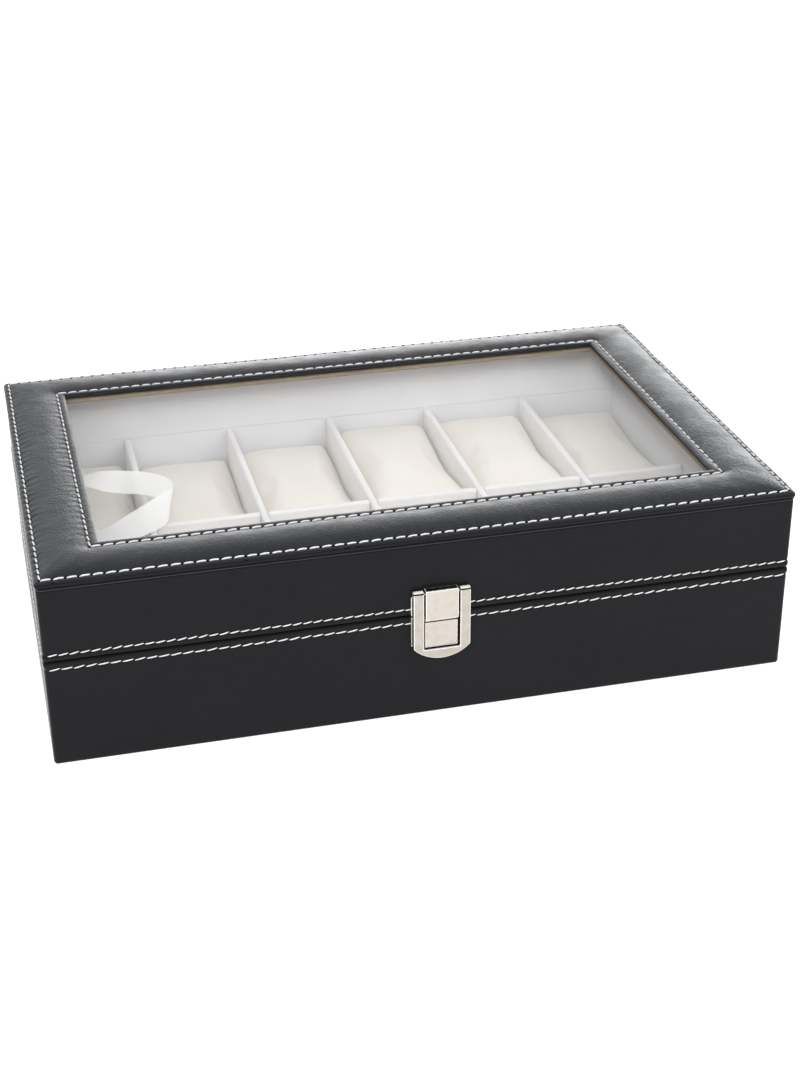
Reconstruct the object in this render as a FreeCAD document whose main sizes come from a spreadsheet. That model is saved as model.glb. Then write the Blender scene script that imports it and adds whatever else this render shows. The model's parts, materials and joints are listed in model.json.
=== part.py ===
"""Watch box: leather-covered case with a hinged, glazed lid and twelve watch pillows.

Frame: millimetres, X to the right, Y to the back, Z up.
The origin is the middle of the underside, on the surface the box stands on.
"""
import FreeCAD, Part
import Sketcher
import os

COLUMNS = 6
ROWS = ("front", "back")
SIDES = {"left": -1, "right": 1}

# Driving dimensions in millimetres: name and value
DIMENSIONS = {
    # Case
    "box_length": 300.0,
    "box_depth": 200.0,
    "base_height": 45.0,
    "parting_gap": 0.4,
    "lid_wall": 30.6,
    "cover_overhang": 0.4,
    "leather": 0.8,
    "wall_board": 4.0,
    "bottom_board": 3.0,
    "bottom_paper": 0.8,
    "wrap_lift": 0.2,
    # Linings and dividers
    "lining": 1.5,
    "lining_lip": 2.8,
    "lip_clearance": 0.4,
    "floor_lining": 1.2,
    "divider": 3.0,
    "divider_rise": 2.7,
    "divider_end_gap": 0.1,
    "halving_clearance": 0.15,
    # Pillows
    "pillow_height": 33.5,
    "pillow_side_gap": 0.6,
    "pillow_end_gap": 2.0,
    "pillow_seat_gap": 0.2,
    "pillow_round": 5.0,
    # Glazed top
    "border": 26.0,
    "top_board": 3.2,
    "board_reveal": 0.5,
    "foam": 0.8,
    "foam_outer_inset": 5.0,
    "foam_inner_inset": 5.0,
    "cover_round": 2.4,
    "window_round": 0.7,
    "glass": 2.0,
    "glass_overlap": 7.0,
    "glass_clearance": 0.2,
    "glass_ledge": 1.8,
    "retainer": 1.6,
    "retainer_clearance": 0.1,
    # Latch
    "latch_offset": 3.2,
    "latch_width": 22.8,
    "latch_proud": 3.2,
    "latch_slot": 14.6,
    "latch_block": 12.8,
    "latch_rise": 11.25,
    "latch_drop": 18.5,
    "latch_arc": 4.9,
    "latch_bar": 4.3,
    "flap_thickness": 1.4,
    "bar_thickness": 1.0,
    "bar_clearance": 0.3,
    "ear_radius": 1.35,
    "latch_pin": 0.65,
    "latch_plate": 0.8,
    "plate_width": 23.8,
    "upper_plate": 8.3,
    "lower_plate": 12.8,
    "plate_edge": 0.4,
    "nose_drop": 1.6,
    "nose_clearance": 0.3,
    "nail_spacing": 18.8,
    "nail_head": 1.2,
    "nail_head_rise": 0.45,
    "nail_shank": 0.5,
    # Hinges
    "hinge_inset": 47.0,
    "hinge_length": 26.0,
    "hinge_leaf": 0.8,
    "hinge_leaf_height": 13.0,
    "knuckle": 1.9,
    "knuckle_standoff": 0.3,
    "knuckle_gap": 0.3,
    "hinge_pin": 0.9,
    "pin_clearance": 0.05,
    "screw_spacing": 16.0,
    "screw_drop": 7.5,
    "screw_head": 1.9,
    "screw_head_rise": 0.6,
    "screw_shank": 0.8,
    "fastener_length": 3.8,
    "fastener_clearance": 0.05,
    # Ribbon
    "ribbon_width": 12.0,
    "ribbon_thickness": 0.5,
    "ribbon_reach": 58.0,
    "ribbon_front": -11.0,
    "ribbon_back": 31.0,
    "ribbon_rise": 0.6,
    "ribbon_fall": 0.3,
    "ribbon_climb": 4.0,
    "ribbon_end_gap": 0.2,
}

doc = FreeCAD.newDocument("watch_box")
sheet = doc.addObject("Spreadsheet::Sheet", "Size")
for row, (alias, value) in enumerate(DIMENSIONS.items(), start=1):
    sheet.set(f"A{row}", alias)
    sheet.set(f"B{row}", str(value))
    sheet.setAlias(f"B{row}", alias)
doc.recompute()


def wall(axis_size, *layers):
    """Half size, from the middle of the box to a wall's face, less the layers outside that face."""
    inside = "".join(f" - Size.{layer}" for layer in layers)
    return f"(Size.{axis_size} / 2{inside})"


# Faces of the walls, from outside to inside, as half lengths (X) and half depths (Y)
OUT_X, OUT_Y = (wall(size) for size in ("box_length", "box_depth"))
WALL_X, WALL_Y = (wall(size, "cover_overhang") for size in ("box_length", "box_depth"))
BOARD_X, BOARD_Y = (wall(size, "cover_overhang", "leather") for size in ("box_length", "box_depth"))
BASE_X, BASE_Y = (f"({face} - Size.wall_board)" for face in (BOARD_X, BOARD_Y))
LID_X, LID_Y = (f"({face} + Size.lip_clearance)" for face in (BASE_X, BASE_Y))
ROOM_X, ROOM_Y = (f"({face} - Size.lining)" for face in (BASE_X, BASE_Y))
WINDOW_X, WINDOW_Y = (f"({face} - Size.border)" for face in (OUT_X, OUT_Y))
REVEAL_X, REVEAL_Y = (f"({face} + Size.board_reveal)" for face in (WINDOW_X, WINDOW_Y))
PANE_X, PANE_Y = (f"({face} + Size.glass_overlap)" for face in (REVEAL_X, REVEAL_Y))
LEDGE_X, LEDGE_Y = (f"({face} - Size.glass_ledge)" for face in (PANE_X, PANE_Y))

# Levels, from the underside to the top
UNDER_BOARDS = "Size.bottom_paper"
BOTTOM_TOP = "(Size.bottom_paper + Size.bottom_board)"
FLOOR = f"({BOTTOM_TOP} + Size.floor_lining)"
BASE_TOP = "Size.base_height"
BASE_BOARD_TOP = "(Size.base_height - Size.leather)"
DIVIDER_TOP = "(Size.base_height + Size.divider_rise)"
LINING_TOP = "(Size.base_height + Size.lining_lip)"
LID_LOW = "(Size.base_height + Size.parting_gap)"
LID_BOARD_LOW = f"({LID_LOW} + Size.leather)"
LID_LINING_LOW = f"({LINING_TOP} + Size.lip_clearance)"
LID_TOP = f"({LID_LOW} + Size.lid_wall)"
GLASS_LOW = f"({LID_TOP} - Size.glass)"
RETAINER_LOW = f"({GLASS_LOW} - Size.retainer)"
TOP_BOARD_TOP = f"({LID_TOP} + Size.top_board)"
FOAM_TOP = f"({TOP_BOARD_TOP} + Size.foam)"
COVER_TOP = f"({FOAM_TOP} + Size.leather)"

# Compartments: the dividers stand one pitch apart
PITCH = f"((2 * {ROOM_X} + Size.divider) / {COLUMNS})"
CELL_X = f"({PITCH} - Size.divider)"
CELL_Y = f"({ROOM_Y} - Size.divider / 2)"

# Hinge line, behind the back wall at the parting
HINGE_Y = f"({WALL_Y} + Size.knuckle_standoff + Size.knuckle)"
HINGE_Z = "(Size.base_height + Size.parting_gap / 2)"

# Latch: places are given out from the front wall
LATCH_TOP = f"({LID_LOW} + Size.latch_rise)"
LATCH_PIN_Z = f"({LATCH_TOP} - Size.ear_radius)"
LATCH_PIN_OUT = "(Size.latch_proud - Size.ear_radius)"
FLAP_LOW = f"({BASE_TOP} - Size.latch_drop)"
SLOT_LOW = f"({FLAP_LOW} + Size.latch_bar)"
NOSE_LOW = f"({LID_LOW} - Size.nose_drop)"
BAR_BACK = "(Size.latch_proud - Size.bar_thickness)"
CATCH_OUT = f"({BAR_BACK} - Size.bar_clearance)"
OVERCUT = "1"

FULL_TURN = "360"
HALF_TURN = "180"

AXES = "xyz"
ALONG_X = FreeCAD.Rotation(FreeCAD.Vector(0, 1, 0), 90)
ALONG_Y = FreeCAD.Rotation(FreeCAD.Vector(1, 0, 0), -90)
TURNED_HALF = FreeCAD.Rotation(FreeCAD.Vector(0, 0, 1), -90)
TURNED_BACK = FreeCAD.Rotation(FreeCAD.Vector(0, 0, 1), 90)

nodes = []


def node(shape_object, label):
    """Give a finished piece the name that it is written under."""
    shape_object.Label = label
    nodes.append(shape_object)
    return shape_object


def place(piece, where, rotation=None):
    """Bind a piece's position to three expressions, after an optional fixed rotation."""
    if rotation is not None:
        piece.Placement = FreeCAD.Placement(FreeCAD.Vector(), rotation)
    for axis, expression in zip(AXES, where):
        piece.setExpression(f"Placement.Base.{axis}", expression)
    return piece


def block(name, low, high):
    """Box between two corners, each given as three expressions."""
    box = doc.addObject("Part::Box", name)
    for size, near, far in zip(("Length", "Width", "Height"), low, high):
        box.setExpression(size, f"({far}) - ({near})")
    return place(box, low)


def centred_block(name, half_x, half_y, low, high):
    """Box centred on the Z axis, between two levels."""
    return block(name, (f"-({half_x})", f"-({half_y})", low), (half_x, half_y, high))


def rod(name, radius, start, length, rotation=None, angle=FULL_TURN):
    """Cylinder, or a sector of one, from a start point along Z or a rotated axis."""
    cylinder = doc.addObject("Part::Cylinder", name)
    cylinder.setExpression("Radius", radius)
    cylinder.setExpression("Height", length)
    cylinder.setExpression("Angle", angle)
    return place(cylinder, start, rotation)


def fuse(name, pieces):
    """Several pieces made one solid."""
    joined = doc.addObject("Part::MultiFuse", name)
    joined.Shapes = pieces
    joined.Refine = True
    return joined


def cut(name, base, tools):
    """A piece with one or more tools taken out of it."""
    tool = tools[0] if len(tools) == 1 else fuse(f"{name}_tools", tools)
    result = doc.addObject("Part::Cut", name)
    result.Base = base
    result.Tool = tool
    result.Refine = True
    return result


def group(name, pieces):
    """Separate like solids kept as one node."""
    compound = doc.addObject("Part::Compound", name)
    compound.Links = pieces
    return compound


def origin_plane(body, role):
    """One of a body's own origin planes."""
    return next(item for item in body.Origin.OriginFeatures if item.Role == role)


def centred_rectangle(sketch, length, depth):
    """Rectangle centred on the sketch's origin, its sides bound to two expressions."""
    first = sketch.GeometryCount
    corners = [(-1, -1), (1, -1), (1, 1), (-1, 1)]
    points = [FreeCAD.Vector(10.0 * x * (first + 1), 10.0 * y * (first + 1), 0) for x, y in corners]
    lines = [Part.LineSegment(points[i], points[(i + 1) % 4]) for i in range(4)]
    sketch.addGeometry(lines, False)
    for i in range(4):
        following = first + (i + 1) % 4
        sketch.addConstraint(Sketcher.Constraint("Coincident", first + i, 2, following, 1))
    for i in range(4):
        direction = "Vertical" if i % 2 else "Horizontal"
        sketch.addConstraint(Sketcher.Constraint(direction, first + i))
    sketch.addConstraint(Sketcher.Constraint("Symmetric", first, 1, first + 2, 1, -1, 1))
    sides = (("DistanceX", first, length), ("DistanceY", first + 1, depth))
    for kind, side, expression in sides:
        index = sketch.addConstraint(Sketcher.Constraint(kind, side, 1, side, 2, 20.0 * (first + 1)))
        sketch.setExpression(f"Constraints[{index}]", expression)


def padded_body(name, rectangles, height):
    """Body with one sketch of centred rectangles, padded upwards; gives the body and its pad."""
    body = doc.addObject("PartDesign::Body", name)
    sketch = body.newObject("Sketcher::SketchObject", f"{name}_sketch")
    sketch.AttachmentSupport = [(origin_plane(body, "XY_Plane"), "")]
    sketch.MapMode = "FlatFace"
    for length, depth in rectangles:
        centred_rectangle(sketch, length, depth)
    pad = body.newObject("PartDesign::Pad", f"{name}_pad")
    pad.Profile = sketch
    pad.setExpression("Length", height)
    doc.recompute()
    return body, pad


def round_edges(body, base, chosen, radius, name):
    """Round the edges of a feature that a test picks, with a bound radius."""
    edges = [f"Edge{i}" for i, edge in enumerate(base.Shape.Edges, start=1) if chosen(edge)]
    fillet = body.newObject("PartDesign::Fillet", name)
    fillet.Base = (base, edges)
    fillet.setExpression("Radius", radius)
    body.Tip = fillet
    doc.recompute()
    return fillet


def four_walls(prefix, suffix, outer, inner, low, high):
    """Four upright strips between an outer and an inner rectangle, as unnamed pieces by wall."""
    (out_x, out_y), (in_x, in_y) = outer, inner
    corners = {
        "front": ((f"-{out_x}", f"-{out_y}"), (out_x, f"-{in_y}")),
        "back": ((f"-{out_x}", in_y), (out_x, out_y)),
        "left": ((f"-{out_x}", f"-{in_y}"), (f"-{in_x}", in_y)),
        "right": ((in_x, f"-{in_y}"), (out_x, in_y)),
    }
    return {
        side: block(f"{prefix}_{side}_{suffix}", (*near, low), (*far, high))
        for side, (near, far) in corners.items()
    }


def fastener(name, head, head_rise, shank, seat, outward):
    """Headed fastener driven into a wall; seat is the point under its head, outward is -1 or 1 along Y."""
    x, y, z = seat
    head_y = f"{y} - Size.{head_rise}" if outward < 0 else y
    shank_y = y if outward < 0 else f"{y} - Size.fastener_length"
    head_solid = rod(f"{name}_head", f"Size.{head}", (x, head_y, z), f"Size.{head_rise}", ALONG_Y)
    shank_solid = rod(f"{name}_shank", f"Size.{shank}", (x, shank_y, z), "Size.fastener_length", ALONG_Y)
    return fuse(name, [head_solid, shank_solid])


def drill(name, shank, seat, outward):
    """Clearance hole for a fastener's shank, from its seat into the wall."""
    x, y, z = seat
    start = y if outward < 0 else f"{y} - Size.fastener_length - Size.fastener_clearance"
    depth = "Size.fastener_length + Size.fastener_clearance"
    return rod(name, f"Size.{shank} + Size.fastener_clearance", (x, start, z), depth, ALONG_Y)


def latch_seats(level):
    """Points under the two nail heads of a latch plate whose nails are at one level."""
    face = f"-({WALL_Y} + Size.latch_plate)"
    return [(f"Size.latch_offset + {hand} * Size.nail_spacing / 2", face, level) for hand in SIDES.values()]


def hinge_middle(hinge):
    """Place of a hinge's middle; the inset runs from the end of the box to the end of the hinge."""
    return f"({SIDES[hinge]} * ({OUT_X} - Size.hinge_inset - Size.hinge_length / 2))"


def hinge_seats(hinge, direction):
    """Points under the two screw heads of a hinge leaf, below (-1) or above (1) the hinge line."""
    face = f"{WALL_Y} + Size.hinge_leaf"
    level = f"{HINGE_Z} + {direction} * Size.screw_drop"
    middle = hinge_middle(hinge)
    return [(f"{middle} + {hand} * Size.screw_spacing / 2", face, level) for hand in SIDES.values()]


def holes(prefix, shank, seats, outward):
    """One clearance hole for each seat."""
    return [drill(f"{prefix}_hole_{i}", shank, seat, outward) for i, seat in enumerate(seats, start=1)]


def fasteners(label, prefix, sizes, seats, outward):
    """Group of like fasteners, one at each seat."""
    made = [fastener(f"{prefix}_{i}", *sizes, seat, outward) for i, seat in enumerate(seats, start=1)]
    return node(group(prefix, made), label)


# Fastener sizes: head radius, head height and shank radius
NAIL = ("nail_head", "nail_head_rise", "nail_shank")
SCREW = ("screw_head", "screw_head_rise", "screw_shank")

# Fastener seats, shared by the fasteners and by every piece that they pass through
CATCH_NAIL_Z = f"({BASE_TOP} - Size.plate_edge - Size.lower_plate / 2)"
PLATE_NAIL_Z = f"({LID_LOW} + Size.upper_plate / 2)"
CATCH_SEATS = latch_seats(CATCH_NAIL_Z)
PLATE_SEATS = latch_seats(PLATE_NAIL_Z)
BASE_LEAF_SEATS = {hinge: hinge_seats(hinge, -1) for hinge in SIDES}
LID_LEAF_SEATS = {hinge: hinge_seats(hinge, 1) for hinge in SIDES}


def all_seats(seats_by_hinge):
    """The seats of both hinges in one list."""
    return [seat for seats in seats_by_hinge.values() for seat in seats]


def wall_boards(prefix, inner, low, high, latch_nails, hinge_screws):
    """Four wall boards, drilled for the latch at the front and for the hinges at the back."""
    boards = four_walls(prefix, "board_blank", (BOARD_X, BOARD_Y), inner, low, high)
    front_holes = holes(f"{prefix}_front_board", "nail_shank", latch_nails, -1)
    back_holes = holes(f"{prefix}_back_board", "screw_shank", hinge_screws, 1)
    boards["front"] = cut(f"{prefix}_front_board", boards["front"], front_holes)
    boards["back"] = cut(f"{prefix}_back_board", boards["back"], back_holes)
    for side, board in boards.items():
        node(board, f"{prefix}_{side}_board")


def leather_wrap(prefix, inner, levels, board_levels, latch_nails, hinge_screws):
    """Leather skin outside the boards, folded over the rim at the parting."""
    low, high = levels
    skin = centred_block(f"{prefix}_wrap_blank", WALL_X, WALL_Y, low, high)
    boards = centred_block(f"{prefix}_wrap_boards", BOARD_X, BOARD_Y, *board_levels)
    mouth = centred_block(f"{prefix}_wrap_mouth", *inner, f"{low} - {OVERCUT}", f"{high} + {OVERCUT}")
    drilled = holes(f"{prefix}_wrap_latch", "nail_shank", latch_nails, -1)
    drilled += holes(f"{prefix}_wrap_hinge", "screw_shank", hinge_screws, 1)
    node(cut(f"{prefix}_wrap", skin, [boards, mouth, *drilled]), f"{prefix}_leather_wrap")


def linings(prefix, outer, low, high):
    """Four lining cards inside a ring of wall boards."""
    cards = four_walls(prefix, "lining_card", outer, (ROOM_X, ROOM_Y), low, high)
    for side, card in cards.items():
        node(card, f"{prefix}_{side}_lining")


def build_base():
    """Base: boards, bottom, leather wrap and linings."""
    screws = all_seats(BASE_LEAF_SEATS)
    wall_boards("base", (BASE_X, BASE_Y), UNDER_BOARDS, BASE_BOARD_TOP, CATCH_SEATS, screws)
    leather_wrap(
        "base",
        (BASE_X, BASE_Y),
        ("Size.wrap_lift", BASE_TOP),
        (f"Size.wrap_lift - {OVERCUT}", BASE_BOARD_TOP),
        CATCH_SEATS,
        screws,
    )
    node(centred_block("bottom", BASE_X, BASE_Y, UNDER_BOARDS, BOTTOM_TOP), "base_bottom_board")
    node(centred_block("paper", BOARD_X, BOARD_Y, "0", UNDER_BOARDS), "bottom_cover")
    linings("base", (BASE_X, BASE_Y), BOTTOM_TOP, LINING_TOP)
    node(centred_block("floor", ROOM_X, ROOM_Y, BOTTOM_TOP, FLOOR), "floor_lining")


def divider_x(index):
    """Place of a cross divider, counted from the left."""
    return f"({index - COLUMNS / 2} * {PITCH})"


def build_dividers():
    """One long divider and the cross dividers, halved into each other at mid height."""
    half = "Size.divider / 2"
    notch = f"({half} + Size.halving_clearance)"
    middle = f"(({FLOOR} + {DIVIDER_TOP}) / 2)"
    row_end = f"({ROOM_X} - Size.divider_end_gap)"
    cross_end = f"({ROOM_Y} - Size.divider_end_gap)"
    long_blank = centred_block("row_divider_blank", row_end, half, FLOOR, DIVIDER_TOP)
    notches = []
    for index in range(1, COLUMNS):
        x = divider_x(index)
        low = (f"{x} - {notch}", f"-{notch}", f"{middle} - Size.halving_clearance / 2")
        high = (f"{x} + {notch}", notch, f"{DIVIDER_TOP} + {OVERCUT}")
        notches.append(block(f"row_notch_{index}", low, high))
    node(cut("row_divider_cut", long_blank, notches), "row_divider")
    for index in range(1, COLUMNS):
        x = divider_x(index)
        near = (f"{x} - {half}", f"-{cross_end}", FLOOR)
        far = (f"{x} + {half}", cross_end, DIVIDER_TOP)
        blank = block(f"cross_divider_blank_{index}", near, far)
        notch_low = (f"{x} - {notch}", f"-{notch}", f"{FLOOR} - {OVERCUT}")
        notch_high = (f"{x} + {notch}", notch, f"{middle} + Size.halving_clearance / 2")
        slot = block(f"cross_notch_{index}", notch_low, notch_high)
        node(cut(f"cross_divider_cut_{index}", blank, [slot]), f"cross_divider_{index}")


def build_pillows():
    """A soft pillow in every compartment, standing just off the floor lining."""
    width = f"({CELL_X} - 2 * Size.pillow_side_gap)"
    length = f"({CELL_Y} - 2 * Size.pillow_end_gap)"
    rounding = f"min(Size.pillow_round; 0.45 * Size.pillow_height; 0.45 * {width})"
    for row, direction in zip(ROWS, (-1, 1)):
        y = f"{direction} * (Size.divider / 2 + {CELL_Y} / 2)"
        for column in range(1, COLUMNS + 1):
            name = f"pillow_{row}_{column}"
            body, pad = padded_body(f"{name}_body", [(width, length)], "Size.pillow_height")
            top = pad.Shape.BoundBox.ZMax
            is_top_or_upright = lambda edge, top=top: edge.BoundBox.ZMax > top / 2
            round_edges(body, pad, is_top_or_upright, rounding, f"{name}_round")
            x = f"({column - (COLUMNS + 1) / 2} * {PITCH})"
            place(body, (x, y, f"{FLOOR} + Size.pillow_seat_gap"))
            node(body, name)


def frame_ring(name, outer, inner, low, high):
    """Flat rectangular ring between two levels."""
    blank = centred_block(f"{name}_blank", *outer, low, high)
    window = centred_block(f"{name}_window", *inner, f"{low} - {OVERCUT}", f"{high} + {OVERCUT}")
    return cut(name, blank, [window])


def build_lid():
    """Lid walls with their wrap and linings."""
    screws = all_seats(LID_LEAF_SEATS)
    wall_boards("lid", (LID_X, LID_Y), LID_BOARD_LOW, LID_TOP, PLATE_SEATS, screws)
    leather_wrap(
        "lid",
        (LID_X, LID_Y),
        (LID_LOW, LID_TOP),
        (LID_BOARD_LOW, f"{LID_TOP} + {OVERCUT}"),
        PLATE_SEATS,
        screws,
    )
    linings("lid", (LID_X, LID_Y), LID_LINING_LOW, RETAINER_LOW)


def build_glazing():
    """Glass pane, the rebated frame that holds it from below, and the board frame above it."""
    node(centred_block("pane", PANE_X, PANE_Y, GLASS_LOW, LID_TOP), "glass_pane")
    retainer_outer = [f"({face} - Size.retainer_clearance)" for face in (LID_X, LID_Y)]
    rebate_faces = [f"({face} + Size.glass_clearance)" for face in (PANE_X, PANE_Y)]
    ring = frame_ring("retainer_ring", retainer_outer, (LEDGE_X, LEDGE_Y), RETAINER_LOW, LID_TOP)
    rebate = centred_block("retainer_rebate", *rebate_faces, GLASS_LOW, f"{LID_TOP} + {OVERCUT}")
    node(cut("retainer_cut", ring, [rebate]), "glass_retainer")
    board_outer = [f"({face} - Size.leather)" for face in (OUT_X, OUT_Y)]
    board = frame_ring("top_board_ring", board_outer, (REVEAL_X, REVEAL_Y), LID_TOP, TOP_BOARD_TOP)
    node(board, "top_board_frame")


def build_padding():
    """Foam ring on the top board, and the leather cover over both."""
    foam_outer = [f"({face} - Size.foam_outer_inset)" for face in (OUT_X, OUT_Y)]
    foam_inner = [f"({face} + Size.foam_inner_inset)" for face in (WINDOW_X, WINDOW_Y)]
    node(frame_ring("foam_ring", foam_outer, foam_inner, TOP_BOARD_TOP, FOAM_TOP), "frame_padding")

    height = f"({COVER_TOP} - {LID_TOP})"
    rectangles = [(f"2 * {x}", f"2 * {y}") for x, y in ((OUT_X, OUT_Y), (WINDOW_X, WINDOW_Y))]
    body, pad = padded_body("cover_body", rectangles, height)
    top = pad.Shape.BoundBox.ZMax
    edge_of_window = pad.Shape.BoundBox.XMax - sheet.get("border")
    on_top = lambda edge: edge.BoundBox.ZMin > top / 2
    inside = lambda edge: edge.BoundBox.XMax < edge_of_window + sheet.get("border") / 2
    outer_round = f"min(Size.cover_round; 0.9 * {height})"
    outer_edge = lambda edge: on_top(edge) and not inside(edge)
    window_edge = lambda edge: on_top(edge) and inside(edge)
    rounded = round_edges(body, pad, outer_edge, outer_round, "cover_outer_round")
    round_edges(body, rounded, window_edge, "Size.window_round", "cover_window_round")
    place(body, ("0", "0", LID_TOP))
    board_outer = [f"({face} - Size.leather)" for face in (OUT_X, OUT_Y)]
    board_room = centred_block("cover_board_room", *board_outer, f"{LID_TOP} - {OVERCUT}", TOP_BOARD_TOP)
    foam_room = frame_ring("cover_foam_room", foam_outer, foam_inner, TOP_BOARD_TOP, FOAM_TOP)
    node(cut("cover_cut", body, [board_room, foam_room]), "padded_frame_cover")


def on_latch(half_width, near_out, far_out, low, high):
    """Corners of a latch box: half width, two distances out from the front wall, two levels."""
    near = (f"Size.latch_offset - {half_width}", f"-({WALL_Y} + {far_out})", low)
    far = (f"Size.latch_offset + {half_width}", f"-({WALL_Y} + {near_out})", high)
    return near, far


def latch_rod(name, radius, start, length):
    """Rod along the latch pin's line, from a distance along X off the latch's middle."""
    where = (f"Size.latch_offset + {start}", f"-({WALL_Y} + {LATCH_PIN_OUT})", LATCH_PIN_Z)
    return rod(name, radius, where, length, ALONG_X)


def build_latch_plates():
    """Upper plate with the pin block and its nose, lower plate with the catch block, and their nails."""
    half_plate = "Size.plate_width / 2"
    half_block = "Size.latch_block / 2"
    plate_top = f"{LID_LOW} + Size.upper_plate"
    plate = block("upper_plate", *on_latch(half_plate, "0", "Size.latch_plate", LID_LOW, plate_top))
    pin_block = block("pin_block", *on_latch(half_block, "0", "Size.latch_proud", LID_LOW, LATCH_TOP))
    nose = block("nose", *on_latch(half_block, CATCH_OUT, "Size.latch_proud", NOSE_LOW, LID_LOW))
    bore = latch_rod("pin_block_bore", "Size.latch_pin", "-Size.latch_block / 2", "Size.latch_block")
    nail_holes = holes("upper_plate", "nail_shank", PLATE_SEATS, -1)
    upper = fuse("upper_plate_blank", [plate, pin_block, nose])
    node(cut("upper_plate_cut", upper, [bore, *nail_holes]), "latch_plate")
    fasteners("latch_plate_nails", "plate_nail", NAIL, PLATE_SEATS, -1)

    catch_top = f"{BASE_TOP} - Size.plate_edge"
    catch_low = f"{catch_top} - Size.lower_plate"
    plate = block("lower_plate", *on_latch(half_plate, "0", "Size.latch_plate", catch_low, catch_top))
    block_low = f"{SLOT_LOW} + Size.bar_clearance"
    block_top = f"{NOSE_LOW} - Size.nose_clearance"
    catch = block("catch_block", *on_latch(half_block, "0", CATCH_OUT, block_low, block_top))
    nail_holes = holes("lower_plate", "nail_shank", CATCH_SEATS, -1)
    lower = fuse("lower_plate_blank", [plate, catch])
    node(cut("lower_plate_cut", lower, nail_holes), "latch_catch")
    fasteners("latch_catch_nails", "catch_nail", NAIL, CATCH_SEATS, -1)


def build_flap():
    """U-shaped flap: two arms with ears round the pin, and a round-ended bar below."""
    half = "Size.latch_width / 2"
    half_slot = "Size.latch_slot / 2"
    back = "(Size.latch_proud - Size.flap_thickness)"
    arc_top = f"({FLAP_LOW} + Size.latch_arc)"
    arc_radius = f"(({half}) ^ 2 + Size.latch_arc ^ 2) / (2 * Size.latch_arc)"
    upright = block("flap_upright", *on_latch(half, back, "Size.latch_proud", arc_top, LATCH_PIN_Z))
    foot = block("flap_foot", *on_latch(half, back, "Size.latch_proud", f"{FLAP_LOW} - {OVERCUT}", arc_top))
    disc_start = ("Size.latch_offset", f"-({WALL_Y} + Size.latch_proud)", f"{FLAP_LOW} + {arc_radius}")
    disc = rod("flap_disc", arc_radius, disc_start, "Size.flap_thickness", ALONG_Y)
    round_foot = doc.addObject("Part::Common", "flap_round_foot")
    round_foot.Base = foot
    round_foot.Tool = disc
    arm_width = "(Size.latch_width - Size.latch_slot) / 2"
    ears = [
        latch_rod(f"flap_ear_{side}", "Size.ear_radius", start, arm_width)
        for side, start in (("left", f"-{half}"), ("right", half_slot))
    ]
    outline = fuse("flap_outline", [upright, round_foot, *ears])
    above = f"{LATCH_TOP} + {OVERCUT}"
    slot = block("flap_slot", *on_latch(half_slot, "0", f"Size.latch_proud + {OVERCUT}", SLOT_LOW, above))
    below = f"{FLAP_LOW} - {OVERCUT}"
    thinning = block("flap_thinning", *on_latch(half_slot, "0", BAR_BACK, below, SLOT_LOW))
    bore_radius = "Size.latch_pin + Size.pin_clearance"
    bore = latch_rod("flap_bore", bore_radius, f"-{half} - {OVERCUT}", f"Size.latch_width + 2 * {OVERCUT}")
    node(cut("flap_cut", outline, [slot, thinning, bore]), "latch_flap")
    pin_length = "Size.latch_width"
    node(latch_rod("flap_pin", "Size.latch_pin", f"-{half}", pin_length), "latch_pin")


def hinge_leaf(hinge, name, direction, knuckles, bore_radius, seats):
    """Leaf of a butt hinge: a plate below (-1) or above (1) the hinge line, with its knuckles."""
    middle = hinge_middle(hinge)
    reach = "(Size.knuckle + Size.knuckle_standoff + Size.knuckle_gap)"
    levels = [f"{HINGE_Z} + {direction} * {size}" for size in (reach, "Size.hinge_leaf_height")]
    levels = levels if direction > 0 else levels[::-1]
    plate_low = (f"{middle} - Size.hinge_length / 2", WALL_Y, levels[0])
    plate_high = (f"{middle} + Size.hinge_length / 2", f"{WALL_Y} + Size.hinge_leaf", levels[1])
    pieces = [block(f"{name}_plate", plate_low, plate_high)]
    for number, (start, length) in enumerate(knuckles, start=1):
        left = f"{middle} + {start}"
        tab_levels = [HINGE_Z, f"{HINGE_Z} + {direction} * ({reach})"]
        tab_levels = tab_levels if direction > 0 else tab_levels[::-1]
        tab_low = (left, WALL_Y, tab_levels[0])
        tab_high = (f"{left} + {length}", f"{WALL_Y} + Size.hinge_leaf", tab_levels[1])
        pieces.append(block(f"{name}_tab_{number}", tab_low, tab_high))
        centre = (left, HINGE_Y, HINGE_Z)
        pieces.append(rod(f"{name}_knuckle_{number}", "Size.knuckle", centre, length, ALONG_X))
    start = f"{middle} - Size.hinge_length / 2 - {OVERCUT}"
    bore_length = f"Size.hinge_length + 2 * {OVERCUT}"
    bore = rod(f"{name}_bore", bore_radius, (start, HINGE_Y, HINGE_Z), bore_length, ALONG_X)
    leaf = fuse(f"{name}_blank", pieces)
    return cut(f"{name}_cut", leaf, [bore, *holes(name, "screw_shank", seats, 1)])


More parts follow.
